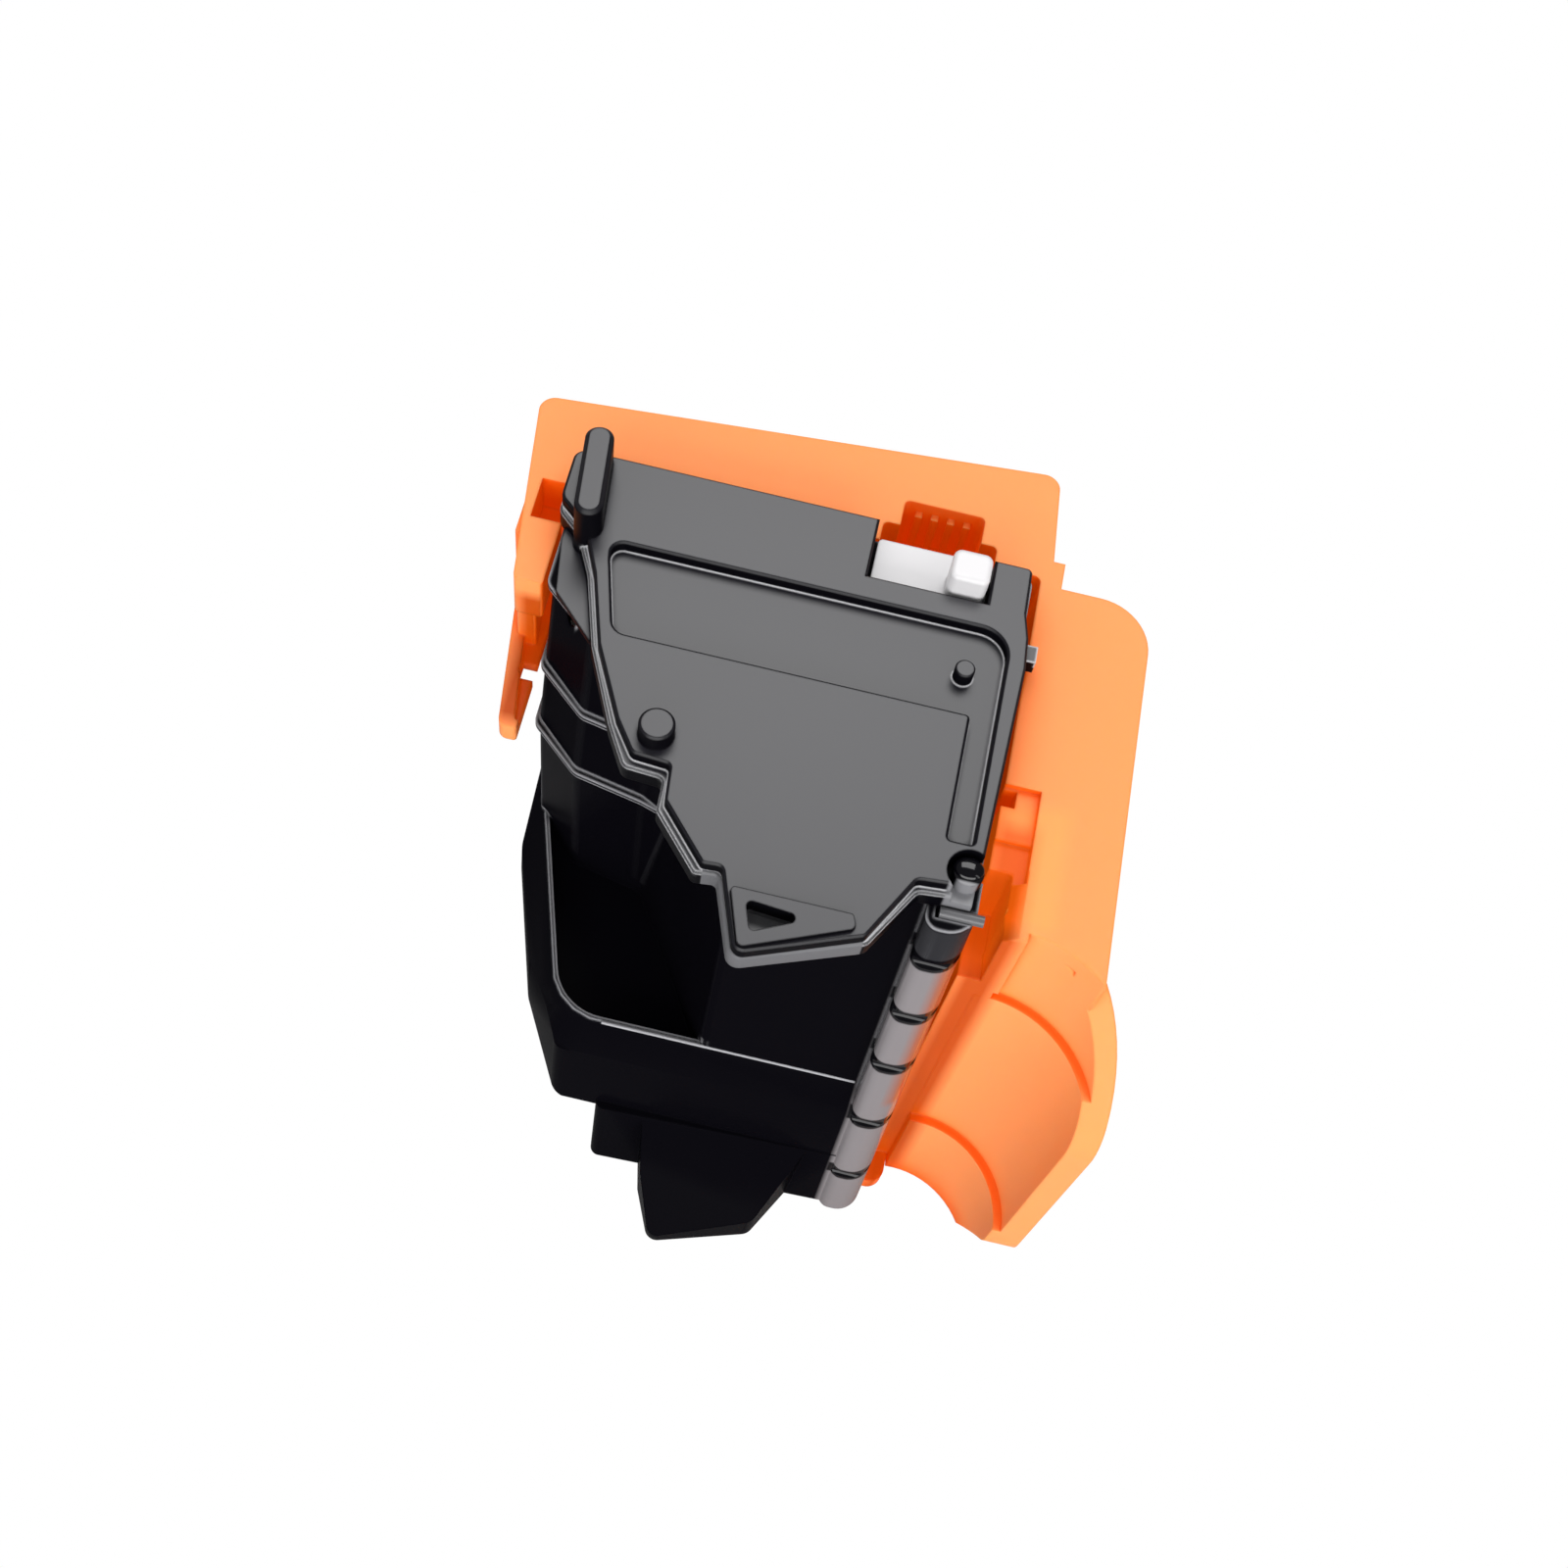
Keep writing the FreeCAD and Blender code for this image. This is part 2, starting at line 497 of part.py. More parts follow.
def lid():
    deck = prism(DECK_OUTLINE, RIM_HEIGHT, LID_TOP).cut(prism(PANEL, LID_TOP - PANEL_DEPTH, LID_TOP + 1.0))
    deck = deck.makeChamfer(LID_EDGE_CHAMFER, [edge for edge in deck.Edges if edge.BoundBox.ZMin > LID_TOP - 0.01])
    flange_top = LID_TOP - DECK_DROP
    flange = prism(LID_OUTLINE, RIM_HEIGHT, flange_top)
    flange = flange.makeChamfer(LID_EDGE_CHAMFER, [edge for edge in flange.Edges
                                                   if edge.BoundBox.ZMin > flange_top - 0.01])
    plate = deck.fuse([flange, prism(SKIRT, RIM_HEIGHT, RIM_HEIGHT + SKIRT_THICKNESS)])
    pad_top = LID_TOP + TONGUE_PAD_HEIGHT
    pad = prism(TONGUE_PAD, LID_TOP - 0.5, pad_top)
    vent_cut = prism(VENT_CUT, pad_top - VENT_CUT_DEPTH, pad_top + 1.0)
    plug = prism(rectangle(HOUSING_LEFT + WALL + CLEARANCE, HOUSING_RIGHT - WALL - CLEARANCE,
                           CHAMBER_FRONT + CLEARANCE, NOTCH_FRONT - 0.6, 1.5),
                 RIM_HEIGHT - LID_PLUG_DEPTH, RIM_HEIGHT)
    plate = plate.fuse([pad, plug, tongue_web(), key_post(), dowel(BIG_DOWEL, BIG_DOWEL_RADIUS, BIG_DOWEL_HEIGHT),
                        dowel(SMALL_DOWEL, SMALL_DOWEL_RADIUS, SMALL_DOWEL_HEIGHT)])
    hook_x, hook_y = HOOK_CENTRE
    hook_floor = LID_TOP - HOOK_DEPTH
    eye = rod(HOOK_RADIUS, HOOK_DEPTH + 1.0, hook_x, hook_y, hook_floor)
    mouth = box(hook_x - HOOK_MOUTH, hook_x + 3.0, hook_y - 3.0, hook_y, hook_floor, LID_TOP + 1.0)
    boss = rod(HOOK_BOSS_RADIUS, HOOK_DEPTH * 0.7, hook_x, hook_y + 0.2, hook_floor)
    plate = plate.cut([eye.fuse(mouth), vent_cut]).fuse(boss)
    pin_groove = Part.makeCylinder(HOOK_PIN_RADIUS + CLEARANCE, HOOK_PIN_LENGTH + 4.0,
                                   Vec(hook_x - HOOK_PIN_LENGTH / 2, HOOK_PIN_Y, RIM_HEIGHT), Vec(1, 0, 0))
    lug = box(*LUG, RIM_HEIGHT + LUG_RISE, RIM_HEIGHT + LUG_RISE + LUG_HEIGHT)
    return plate.cut(pin_groove).fuse(lug).removeSplitter()


def tongue_web():
    """Gusset under the lid's tongue, down the leaning front of the pier."""
    foot = RIM_HEIGHT - WEB_DEPTH
    top_y = PIER_FRONT - CLEARANCE
    foot_y = front_at(foot, PIER_FRONT) - CLEARANCE
    return side_prism([(top_y, RIM_HEIGHT, 0), (top_y - WEB_REACH, RIM_HEIGHT, 0),
                       (foot_y - 0.5, foot, 0), (foot_y, foot, 0)], WEB_LEFT, WEB_LEFT + WEB_THICKNESS)


def inlet_fitting():
    """White moulding in the lid's notch: a base plate, a tower and a spigot below."""
    plate_z = RIM_HEIGHT + CLEARANCE
    plate = prism(rectangle(NOTCH_LEFT + 0.3, NOTCH_RIGHT - 0.3, NOTCH_FRONT + 0.2, HOUSING_BACK - 0.4, 0.4),
                  plate_z, plate_z + FITTING_PLATE)
    tower = prism(rectangle(NOTCH_RIGHT - 0.3 - TOWER_WIDTH, NOTCH_RIGHT - 0.3, NOTCH_FRONT + 0.3,
                            NOTCH_FRONT + 0.3 + TOWER_DEPTH, 0.7), plate_z, TOWER_TOP)
    top = [edge for edge in tower.Edges if edge.BoundBox.ZMin > TOWER_TOP - 0.01]
    tower = tower.makeFillet(0.4, top)
    spigot = rod(SPIGOT_RADIUS, GROMMET_HEIGHT, INLET_X, INLET_Y, plate_z - GROMMET_HEIGHT)
    bore = rod(INLET_BORE_RADIUS, GROMMET_HEIGHT + 2.0, INLET_X, INLET_Y, plate_z - GROMMET_HEIGHT)
    return plate.fuse([tower, spigot]).cut(bore).removeSplitter()


def inlet_grommet():
    z = RIM_HEIGHT - GROMMET_HEIGHT
    sleeve = rod(GROMMET_RADIUS, GROMMET_HEIGHT, INLET_X, INLET_Y, z)
    return sleeve.cut(rod(SPIGOT_RADIUS + CLEARANCE, GROMMET_HEIGHT, INLET_X, INLET_Y, z))


def inlet_bridge():
    """Shelf across the chamber's back right corner that carries the inlet."""
    return prism(rectangle(NOTCH_LEFT, HOUSING_RIGHT - WALL / 2, NOTCH_FRONT - 0.5, HOUSING_BACK - WALL / 2, 0.5),
                 RIM_HEIGHT - GROMMET_HEIGHT - BRIDGE_THICKNESS, RIM_HEIGHT)


def inlet_socket():
    """Hole for the inlet's grommet and the feed tube below it."""
    z = RIM_HEIGHT - GROMMET_HEIGHT
    socket = rod(GROMMET_RADIUS + CLEARANCE, GROMMET_HEIGHT + 1.0, INLET_X, INLET_Y, z)
    return socket.fuse(rod(FEED_TUBE_RADIUS + CLEARANCE, 2.0, INLET_X, INLET_Y, z - 1.0))


def feed_tube():
    top = RIM_HEIGHT - GROMMET_HEIGHT
    tube = rod(FEED_TUBE_RADIUS, FEED_TUBE_LENGTH, INLET_X, INLET_Y, top - FEED_TUBE_LENGTH)
    return tube.cut(rod(INLET_BORE_RADIUS, FEED_TUBE_LENGTH, INLET_X, INLET_Y, top - FEED_TUBE_LENGTH))


def ink_foam():
    left = HOUSING_LEFT + WALL + SOFT_GAP
    right = HOUSING_RIGHT - WALL - SOFT_GAP
    bottom = CHAMBER_FLOOR + SCREEN_THICKNESS + SOFT_GAP
    foam = prism(rectangle(left, right, CHAMBER_FRONT + SOFT_GAP, HOUSING_BACK - WALL - SOFT_GAP, 1.2),
                 bottom, RIM_HEIGHT - GROMMET_HEIGHT - BRIDGE_THICKNESS - SOFT_GAP)
    tube_well = rod(FEED_TUBE_RADIUS + SOFT_GAP, FEED_TUBE_LENGTH + 1.0, INLET_X, INLET_Y,
                    RIM_HEIGHT - GROMMET_HEIGHT - FEED_TUBE_LENGTH - SOFT_GAP)
    return foam.cut(tube_well)


def filter_frame():
    z = CHAMBER_FLOOR - FRAME_THICKNESS
    outer = prism(rectangle(SUMP_LEFT - FRAME_RIM + CLEARANCE, SUMP_RIGHT + FRAME_RIM - CLEARANCE,
                            SUMP_FRONT - FRAME_RIM + CLEARANCE, SUMP_BACK + FRAME_RIM - CLEARANCE, 1.4),
                  z, CHAMBER_FLOOR)
    return outer.cut(prism(rectangle(SUMP_LEFT, SUMP_RIGHT, SUMP_FRONT, SUMP_BACK, 1.4),
                           z - 1.0, CHAMBER_FLOOR + 1.0))


def filter_screen():
    return prism(rectangle(SUMP_LEFT - 0.6, SUMP_RIGHT + 0.6, SUMP_FRONT - 0.6, SUMP_BACK + 0.6, 1.2),
                 CHAMBER_FLOOR, CHAMBER_FLOOR + SCREEN_THICKNESS)


def vent_pocket():
    """Well under the tongue's root for the vent membrane and its ring."""
    return rod(VENT_RADIUS + CLEARANCE, 1.2, VENT_X, VENT_Y, RIM_HEIGHT - 1.0)


def vent_ring():
    z = RIM_HEIGHT - 1.0 + MEMBRANE_THICKNESS
    ring = rod(VENT_RADIUS, 0.8, VENT_X, VENT_Y, z)
    return ring.cut(rod(VENT_RADIUS - 0.8, 0.8, VENT_X, VENT_Y, z))


def vent_membrane():
    return rod(VENT_RADIUS, MEMBRANE_THICKNESS, VENT_X, VENT_Y, RIM_HEIGHT - 1.0)


def manifold():
    x0, x1, y0, y1 = MANIFOLD
    block = box(x0, x1, y0, y1, HOUSING_BOTTOM, HOUSING_BOTTOM + MANIFOLD_THICKNESS)
    x0, x1, y0, y1 = FEED_SLOT
    slot = box(x0, x1, y0, y1, HOUSING_BOTTOM, HOUSING_BOTTOM + MANIFOLD_THICKNESS)
    x0, x1, y0, y1 = DIE
    seat = box(x0 - CLEARANCE, x1 + CLEARANCE, y0 - CLEARANCE, y1 + CLEARANCE,
               HOUSING_BOTTOM, HOUSING_BOTTOM + DIE_THICKNESS)
    return block.cut(slot.fuse(seat))


def manifold_gasket():
    x0, x1, y0, y1 = MANIFOLD
    z = HOUSING_BOTTOM + MANIFOLD_THICKNESS
    pad = box(x0, x1, y0, y1, z, z + GASKET_THICKNESS)
    return pad.cut(box(x0 + GASKET_RIM, x1 - GASKET_RIM, y0 + GASKET_RIM, y1 - GASKET_RIM,
                       z, z + GASKET_THICKNESS))


def nozzle_die():
    x0, x1, y0, y1 = DIE
    die = box(x0, x1, y0, y1, HOUSING_BOTTOM, HOUSING_BOTTOM + DIE_THICKNESS)
    x0, x1, y0, y1 = FEED_SLOT
    middle = (y0 + y1) / 2
    return die.cut(box(x0, x1, middle - 0.2, middle + 0.2, HOUSING_BOTTOM, HOUSING_BOTTOM + DIE_THICKNESS))


def orifice_plate():
    x0, x1, y0, y1 = DIE
    over = ORIFICE_OVERHANG
    return box(x0 - over, x1 + over, y0 - over, y1 + over,
               HOUSING_BOTTOM - ORIFICE_THICKNESS, HOUSING_BOTTOM)


def flex_circuit():
    """Tape bonded under the snout, bent round its back edge and run up the back wall."""
    outer = HOUSING_BACK + FLEX_THICKNESS
    bottom = HOUSING_BOTTOM - FLEX_THICKNESS
    tape = side_prism([(FLEX_FRONT, HOUSING_BOTTOM, 0), (FLEX_FRONT, bottom, 0),
                       (outer, bottom, FLEX_BEND + FLEX_THICKNESS), (outer, FLEX_TOP, 0),
                       (HOUSING_BACK, FLEX_TOP, 0), (HOUSING_BACK, HOUSING_BOTTOM, FLEX_BEND)],
                      FLEX_LEFT, FLEX_RIGHT)
    x0, x1, y0, y1 = DIE
    edge = ORIFICE_OVERHANG + CLEARANCE + BEAD_WIDTH
    window = box(x0 - edge, x1 + edge, y0 - ORIFICE_OVERHANG - CLEARANCE, y1 + ORIFICE_OVERHANG + CLEARANCE,
                 bottom - 1.0, HOUSING_BOTTOM + 1.0)
    return tape.cut(window)


def encapsulant_beads():
    x0, x1, y0, y1 = DIE
    beads = []
    for start in (x0 - ORIFICE_OVERHANG - BEAD_WIDTH, x1 + ORIFICE_OVERHANG + CLEARANCE):
        beads.append(box(start, start + BEAD_WIDTH - CLEARANCE, y0, y1,
                         HOUSING_BOTTOM - FLEX_THICKNESS, HOUSING_BOTTOM))
    return Part.makeCompound(beads)


def contact_pads():
    pads = []
    middle = (FLEX_LEFT + FLEX_RIGHT) / 2
    face = HOUSING_BACK + FLEX_THICKNESS
    for column in range(PAD_COLUMNS):
        x = middle + (column - (PAD_COLUMNS - 1) / 2) * PAD_PITCH_X
        for row in range(PAD_ROWS):
            z = PAD_CENTRE_Z + (row - (PAD_ROWS - 1) / 2) * PAD_PITCH_Z
            pads.append(box(x - PAD_WIDTH / 2, x + PAD_WIDTH / 2, face, face + PAD_THICKNESS,
                            z - PAD_HEIGHT / 2, z + PAD_HEIGHT / 2))
    return Part.makeCompound(pads)


def hook_pin():
    x, y = HOOK_CENTRE
    return Part.makeCylinder(HOOK_PIN_RADIUS, HOOK_PIN_LENGTH,
                             Vec(x - HOOK_PIN_LENGTH / 2 + 0.3, HOOK_PIN_Y, RIM_HEIGHT), Vec(1, 0, 0))


def collar():
    """Flange round the cap's mouth, with a turned-down lip and the side lobe."""
    left_x, left_y = COLLAR_BACK_LEFT
    right_x, right_y = COLLAR_BACK_RIGHT
    end_x, end_y = COLLAR_LEFT_END
    tip_x, tip_y = LOBE_TIP
    outline = [(left_x, left_y, 1.4), (end_x, end_y, 0.6), (INNER_LEFT, end_y, 0.3),
               (INNER_LEFT, INNER_BACK, 0.6), (INNER_RIGHT, INNER_BACK, 0.6),
               (INNER_RIGHT, STEP_BACK, 0.4), (RISER_LEFT, STEP_BACK, 0.4),
               (RISER_LEFT, tip_y, 0), (tip_x, tip_y, 0), (LOBE_RIGHT, LOBE_BACK, LOBE_CORNER),
               (right_x + 0.8, LOBE_BACK, 1.0), (right_x, right_y, 1.4)]
    lip_foot = COLLAR_TOP - COLLAR_LIP
    edge = rounded_wire(outline, lip_foot)
    hollows = [Part.Face(wire).extrude(Vec(0, 0, COLLAR_LIP - COLLAR_THICKNESS))
               for wire in edge.makeOffset2D(-COLLAR_THICKNESS).Wires]
    grip_x, grip_y = GRIP_CENTRE
    bite = rod(GRIP_TIERS[-1][2], COLLAR_LIP + 2.0, grip_x, grip_y, lip_foot - 1.0)
    return prism(outline, lip_foot, COLLAR_TOP).cut(hollows + [bite])


def collar_cuts():
    """Recesses and a well behind the step, the riser's sloped edge, and the left arm's slot."""
    top = COLLAR_TOP + 1.0
    inside = INNER_RIGHT - 1.0
    width, front, back, depth = STEP_HOLE
    slot_left, slot_front, slot_back = SLOT
    slope = front_prism([(COLLAR_TOP + 0.1, RISER_LEFT - 0.1, 0), (COLLAR_TOP + 0.1, RISER_LEFT + RISER_SLOPE, 0),
                         (COLLAR_TOP - RISER_SLOPE, RISER_LEFT - 0.1, 0)], GRIP_CENTRE[1], STEP_BACK)
    return [box(inside, RISER_LEFT + 1.0, STEP_BACK - 1.0, STEP_BACK + STEP_REACH, COLLAR_TOP - STEP_RECESS, top),
            box(inside, RISER_LEFT + 1.0, STEP_BACK - 1.0, STEP_BACK + STEP_REACH_DEEP,
                COLLAR_TOP - STEP_RECESS_DEEP, top),
            box(inside, INNER_RIGHT + width, front, back, COLLAR_TOP - depth, top), slope,
            box(slot_left, INNER_LEFT + 1.0, slot_front, slot_back, COLLAR_TOP - SLOT_DEPTH, top)]


def slot_floor():
    left, front, back = SLOT
    z = COLLAR_TOP - SLOT_DEPTH
    return box(left - 1.0, INNER_LEFT, front - 1.0, back + 1.0, z - 1.0, COLLAR_TOP - 1.0)


def collar_pocket():
    """Recess in the collar behind the inlet: its outer walls and the space they hold."""
    x0, x1, y0, y1 = POCKET
    z0 = COLLAR_TOP - POCKET_DEPTH
    walls = box(x0 - COLLAR_THICKNESS, x1 + COLLAR_THICKNESS, INNER_BACK, y1 + COLLAR_THICKNESS,
                z0 - COLLAR_THICKNESS, COLLAR_TOP - 1.0)
    shoulder = POCKET_SHOULDER
    space = prism(rectangle(x0 + shoulder, x1 - shoulder, y0 - 3.0, y1, 0.5), z0, COLLAR_TOP + 1.0)
    space = space.fuse(prism(rectangle(x0, x1, y0 - 3.0, y0 + POCKET_SHOULDER_DEPTH, 0.5), z0, COLLAR_TOP + 1.0))
    pitch = (x1 - x0 - 2 * shoulder) / (POCKET_RIBS + 1)
    for index in range(POCKET_RIBS):
        x = x0 + shoulder + pitch * (index + 1)
        space = space.cut(box(x - POCKET_RIB / 2, x + POCKET_RIB / 2, y1 - POCKET_RIB, y1 + 1.0,
                              z0, COLLAR_TOP - 1.2))
    return walls, space


def gussets():
    """Webs that stiffen the collar's overhang at the back and under the side lobe."""
    top = COLLAR_TOP - COLLAR_THICKNESS / 2
    half = GUSSET_THICKNESS / 2
    webs = []
    back = INNER_BACK + CAP_WALL / 2
    for x in BACK_GUSSETS:
        webs.append(side_prism([(back, top, 0), (back, top - GUSSET_DROP, 0), (back + GUSSET_FOOT, top - GUSSET_DROP, 0),
                                (back + GUSSET_REACH, top - COLLAR_LIP, 0), (back + GUSSET_REACH, top, 0)],
                               x - half, x + half))
    side = INNER_RIGHT + CAP_WALL / 2
    reach = LOBE_RIGHT - 1.0
    foot = top - 2 * GUSSET_DROP
    for y in LOBE_GUSSETS:
        webs.append(front_prism([(top, side, 0), (foot, side, 0), (foot, side + GUSSET_FOOT, 0),
                                 (top - COLLAR_LIP, reach, 0), (top, reach, 0)], y - half, y + half))
    return webs


def cushion_plan():
    reach = PAD_PITCH_X * PAD_COLUMNS / 2
    middle = (FLEX_LEFT + FLEX_RIGHT) / 2
    half = PAD_PITCH_Z * PAD_ROWS / 2
    return middle - reach, middle + reach, PAD_CENTRE_Z - half, PAD_CENTRE_Z + half


def grip():
    """Finger grip: a quarter-round wall whose tiers step in towards the bottom, its free edge rounded."""
    x, y = GRIP_CENTRE
    parts = []
    for z0, z1, inner in GRIP_TIERS:
        ring = Part.makeCylinder(GRIP_OUTER, z1 - z0, Vec(x, y, z0), Vec(0, 0, 1), GRIP_START - GRIP_END)
        core = Part.makeCylinder(inner, z1 - z0, Vec(x, y, z0), Vec(0, 0, 1), GRIP_START - GRIP_END)
        ring = ring.cut(core)
        ring.rotate(Vec(x, y, 0), Vec(0, 0, 1), GRIP_END)
        parts.append(ring)
    back = y + GRIP_OUTER + 1.0
    slope = (GRIP_EDGE - y - GRIP_OUTER * 0.9) / (GRIP_EDGE_HIGH - COLLAR_TOP)
    profile = side_prism([(back, COLLAR_TOP + 1.0, 0), (y + GRIP_OUTER * 0.9 + slope, COLLAR_TOP + 1.0, 0),
                          (GRIP_EDGE, GRIP_EDGE_HIGH, GRIP_ROUND), (GRIP_EDGE, GRIP_EDGE_LOW, GRIP_ROUND),
                          (GRIP_EDGE + 0.4 * (GRIP_EDGE_LOW + 1.0), -1.0, 0), (back, -1.0, 0)],
                         x - 3.0, x + GRIP_OUTER + 1.0)
    return parts[0].fuse(parts[1:]).removeSplitter().common(profile)


def cheek():
    """Shallow tray beside the housing, below the collar's left arm, and the wall that carries it."""
    front_x, front_y = CHEEK_FRONT
    back = INNER_BACK + CAP_WALL
    right = INNER_LEFT
    foot = CHEEK_TOP - CHEEK_HEIGHT
    tray = prism([(CHEEK_BACK_X, back, 0), (front_x, front_y, 0.8), (right, front_y, 0.3), (right, back, 0)],
                 foot, CHEEK_TOP)
    hollow = prism([(CHEEK_BACK_X + CHEEK_RIM, INNER_BACK, 0), (front_x + CHEEK_RIM, front_y + 0.8, 0.2),
                    (right + 1.0, front_y + 0.8, 0), (right + 1.0, INNER_BACK, 0)],
                   CHEEK_TOP - CHEEK_HOLLOW, CHEEK_TOP + 1.0)
    hole_left, hole_front, hole_back = CHEEK_HOLE
    hole = box(hole_left, right + 1.0, hole_front, hole_back, foot - 1.0, CHEEK_TOP)
    end_x, end_y = COLLAR_LEFT_END
    wall = prism([(ARM_BACK_X, back, 0), (end_x + 0.2, end_y + 0.2, 0.3),
                  (end_x + 0.2 + ARM_THICKNESS, end_y + 0.2, 0.3), (ARM_BACK_X + ARM_THICKNESS, back, 0)],
                 foot, COLLAR_TOP - 1.0)
    return tray.cut([hollow, hole]).fuse(wall)


def cap_shell():
    right = INNER_RIGHT
    outer = INNER_RIGHT + CAP_WALL
    back = INNER_BACK + CAP_WALL
    front = GRIP_CENTRE[1] + GRIP_TIERS[1][2]
    shelf_z = STEP_TOP - CAP_WALL
    cheek_foot = CHEEK_TOP - CHEEK_HEIGHT
    floor = prism(rectangle(SNOUT_LEFT + 0.6, outer, FLOOR_FRONT, back, 1.5), 0, CAP_FLOOR)
    back_wall = Part.Face(Part.makePolygon([
        Vec(SNOUT_LEFT, INNER_BACK, 0), Vec(outer, INNER_BACK, 0), Vec(outer, INNER_BACK, COLLAR_TOP),
        Vec(ARM_BACK_X, INNER_BACK, COLLAR_TOP), Vec(ARM_BACK_X, INNER_BACK, cheek_foot),
        Vec(SNOUT_LEFT, INNER_BACK, SNOUT_TOP), Vec(SNOUT_LEFT, INNER_BACK, 0)])).extrude(Vec(0, CAP_WALL, 0))
    side_wall = box(right, outer, front, back, 0, STEP_TOP)
    side_top = box(right, outer, STEP_BACK, back, STEP_TOP - 1.0, COLLAR_TOP)
    step_face = box(right, RISER_LEFT + CAP_WALL, STEP_BACK, STEP_BACK + CAP_WALL, shelf_z, COLLAR_TOP)
    riser = box(RISER_LEFT, RISER_LEFT + CAP_WALL, front, STEP_BACK + 1.0, shelf_z, COLLAR_TOP)
    shelf = box(right, RISER_LEFT + CAP_WALL, front, STEP_BACK + 1.0, shelf_z, STEP_TOP)
    front_return = box(right, GRIP_CENTRE[0] + 0.5, front, front + CAP_WALL, 0, STEP_TOP)
    pocket_walls, pocket_space = collar_pocket()
    x0, x1, z0, z1 = cushion_plan()
    cushion_seat = box(x0 - CLEARANCE, x1 + CLEARANCE, INNER_BACK - 1.0, INNER_BACK + CUSHION_DEPTH,
                       z0 - CLEARANCE, z1 + CLEARANCE)
    shell = collar().fuse([floor, back_wall, side_wall, side_top, step_face, riser, shelf, front_return,
                           cheek(), slot_floor(), pocket_walls, grip()] + gussets())
    return shell.cut([pocket_space, cushion_seat] + collar_cuts()).removeSplitter()


def nozzle_seal():
    z0 = CAP_FLOOR
    z1 = HOUSING_BOTTOM - FLEX_THICKNESS - SOFT_GAP
    x0, x1, y0, y1 = DIE
    pad = prism(rectangle(x0 - 3.0, x1 + 3.0, y0 - 3.0, y1 + 3.0, 1.5), z0, z1)
    well = prism(rectangle(x0 - 3.0 + SEAL_LIP, x1 + 3.0 - SEAL_LIP, y0 - 3.0 + SEAL_LIP,
                           y1 + 3.0 - SEAL_LIP, 1.0), z0 + 0.6, z1 + 1.0)
    return pad.cut(well)


def contact_cushion():
    face = HOUSING_BACK + FLEX_THICKNESS + PAD_THICKNESS + SOFT_GAP
    x0, x1, z0, z1 = cushion_plan()
    return box(x0, x1, face, INNER_BACK + CUSHION_DEPTH, z0, z1)


def build():
    return {
        "housing": housing(),
        "lid": lid(),
        "inlet_fitting": inlet_fitting(),
        "inlet_grommet": inlet_grommet(),
        "feed_tube": feed_tube(),
        "ink_foam": ink_foam(),
        "filter_screen": filter_screen(),
        "filter_frame": filter_frame(),
        "vent_membrane": vent_membrane(),
        "vent_ring": vent_ring(),
        "manifold_gasket": manifold_gasket(),
        "manifold": manifold(),
        "nozzle_die": nozzle_die(),
        "orifice_plate": orifice_plate(),
        "flex_circuit": flex_circuit(),
        "contact_pads": contact_pads(),
        "encapsulant_beads": encapsulant_beads(),
        "hook_pin": hook_pin(),
        "cap_shell": cap_shell(),
        "nozzle_seal": nozzle_seal(),
        "contact_cushion": contact_cushion(),
    }


def main():
    os.makedirs("parts", exist_ok=True)
    for name, shape in build().items():
        print(name, shape.ShapeType, len(shape.Solids), shape.isValid(), round(shape.Volume, 2))
        shape.exportStep("parts/" + name + ".step")


main()
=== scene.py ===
import math

import bpy
from mathutils import Matrix, Vector


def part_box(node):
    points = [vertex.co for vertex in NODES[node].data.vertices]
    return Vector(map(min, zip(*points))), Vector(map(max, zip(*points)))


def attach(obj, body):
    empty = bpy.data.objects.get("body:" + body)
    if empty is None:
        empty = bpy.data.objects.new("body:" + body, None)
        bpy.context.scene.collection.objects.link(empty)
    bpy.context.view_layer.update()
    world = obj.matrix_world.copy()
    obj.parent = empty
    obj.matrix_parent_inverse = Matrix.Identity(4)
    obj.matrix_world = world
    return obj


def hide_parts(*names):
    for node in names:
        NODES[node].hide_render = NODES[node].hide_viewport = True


bl_info = {
    "name": "Plug-in printhead",
    "version": (1, 0, 0),
    "blender": (4, 5, 0),
    "location": "View3D > Sidebar > Printhead",
    "description": "Dresses the packed printhead: finishes, moulded detail, studio and camera",
    "category": "Object",
}

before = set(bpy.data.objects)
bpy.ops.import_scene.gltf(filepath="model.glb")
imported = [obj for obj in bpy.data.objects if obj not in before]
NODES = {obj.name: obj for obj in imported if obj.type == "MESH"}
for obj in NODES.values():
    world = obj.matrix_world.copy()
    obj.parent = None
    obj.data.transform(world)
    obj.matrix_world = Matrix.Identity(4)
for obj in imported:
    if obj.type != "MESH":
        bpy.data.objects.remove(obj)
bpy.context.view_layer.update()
MM = 0.001

# The ribbed corner post: its width, how far back its painted reflection and shade go, its grooves and half
# the height of the painted shade band at one
COLUMN_WIDTH = 0.0042
COLUMN_BACK = -0.0135
GROOVES = (0.0545, 0.0455, 0.0360, 0.0245, 0.0125)
GROOVE_HALF = 0.0011

# Width and foot of the strip on the post's side where the cap's orange reflection is painted
POST_REFLECTION_WIDTH = 0.0018
POST_REFLECTION_FOOT = 0.0280

# Height of the tray's rim, where the bead lies, and of the line above which the housing's edges get a painted
# highlight
LEDGE_TOP = 0.0280
LEDGE_LINE = 0.0272

# Top of the lid's slim flange, whose edges get a painted highlight
FLANGE_TOP = 0.0621
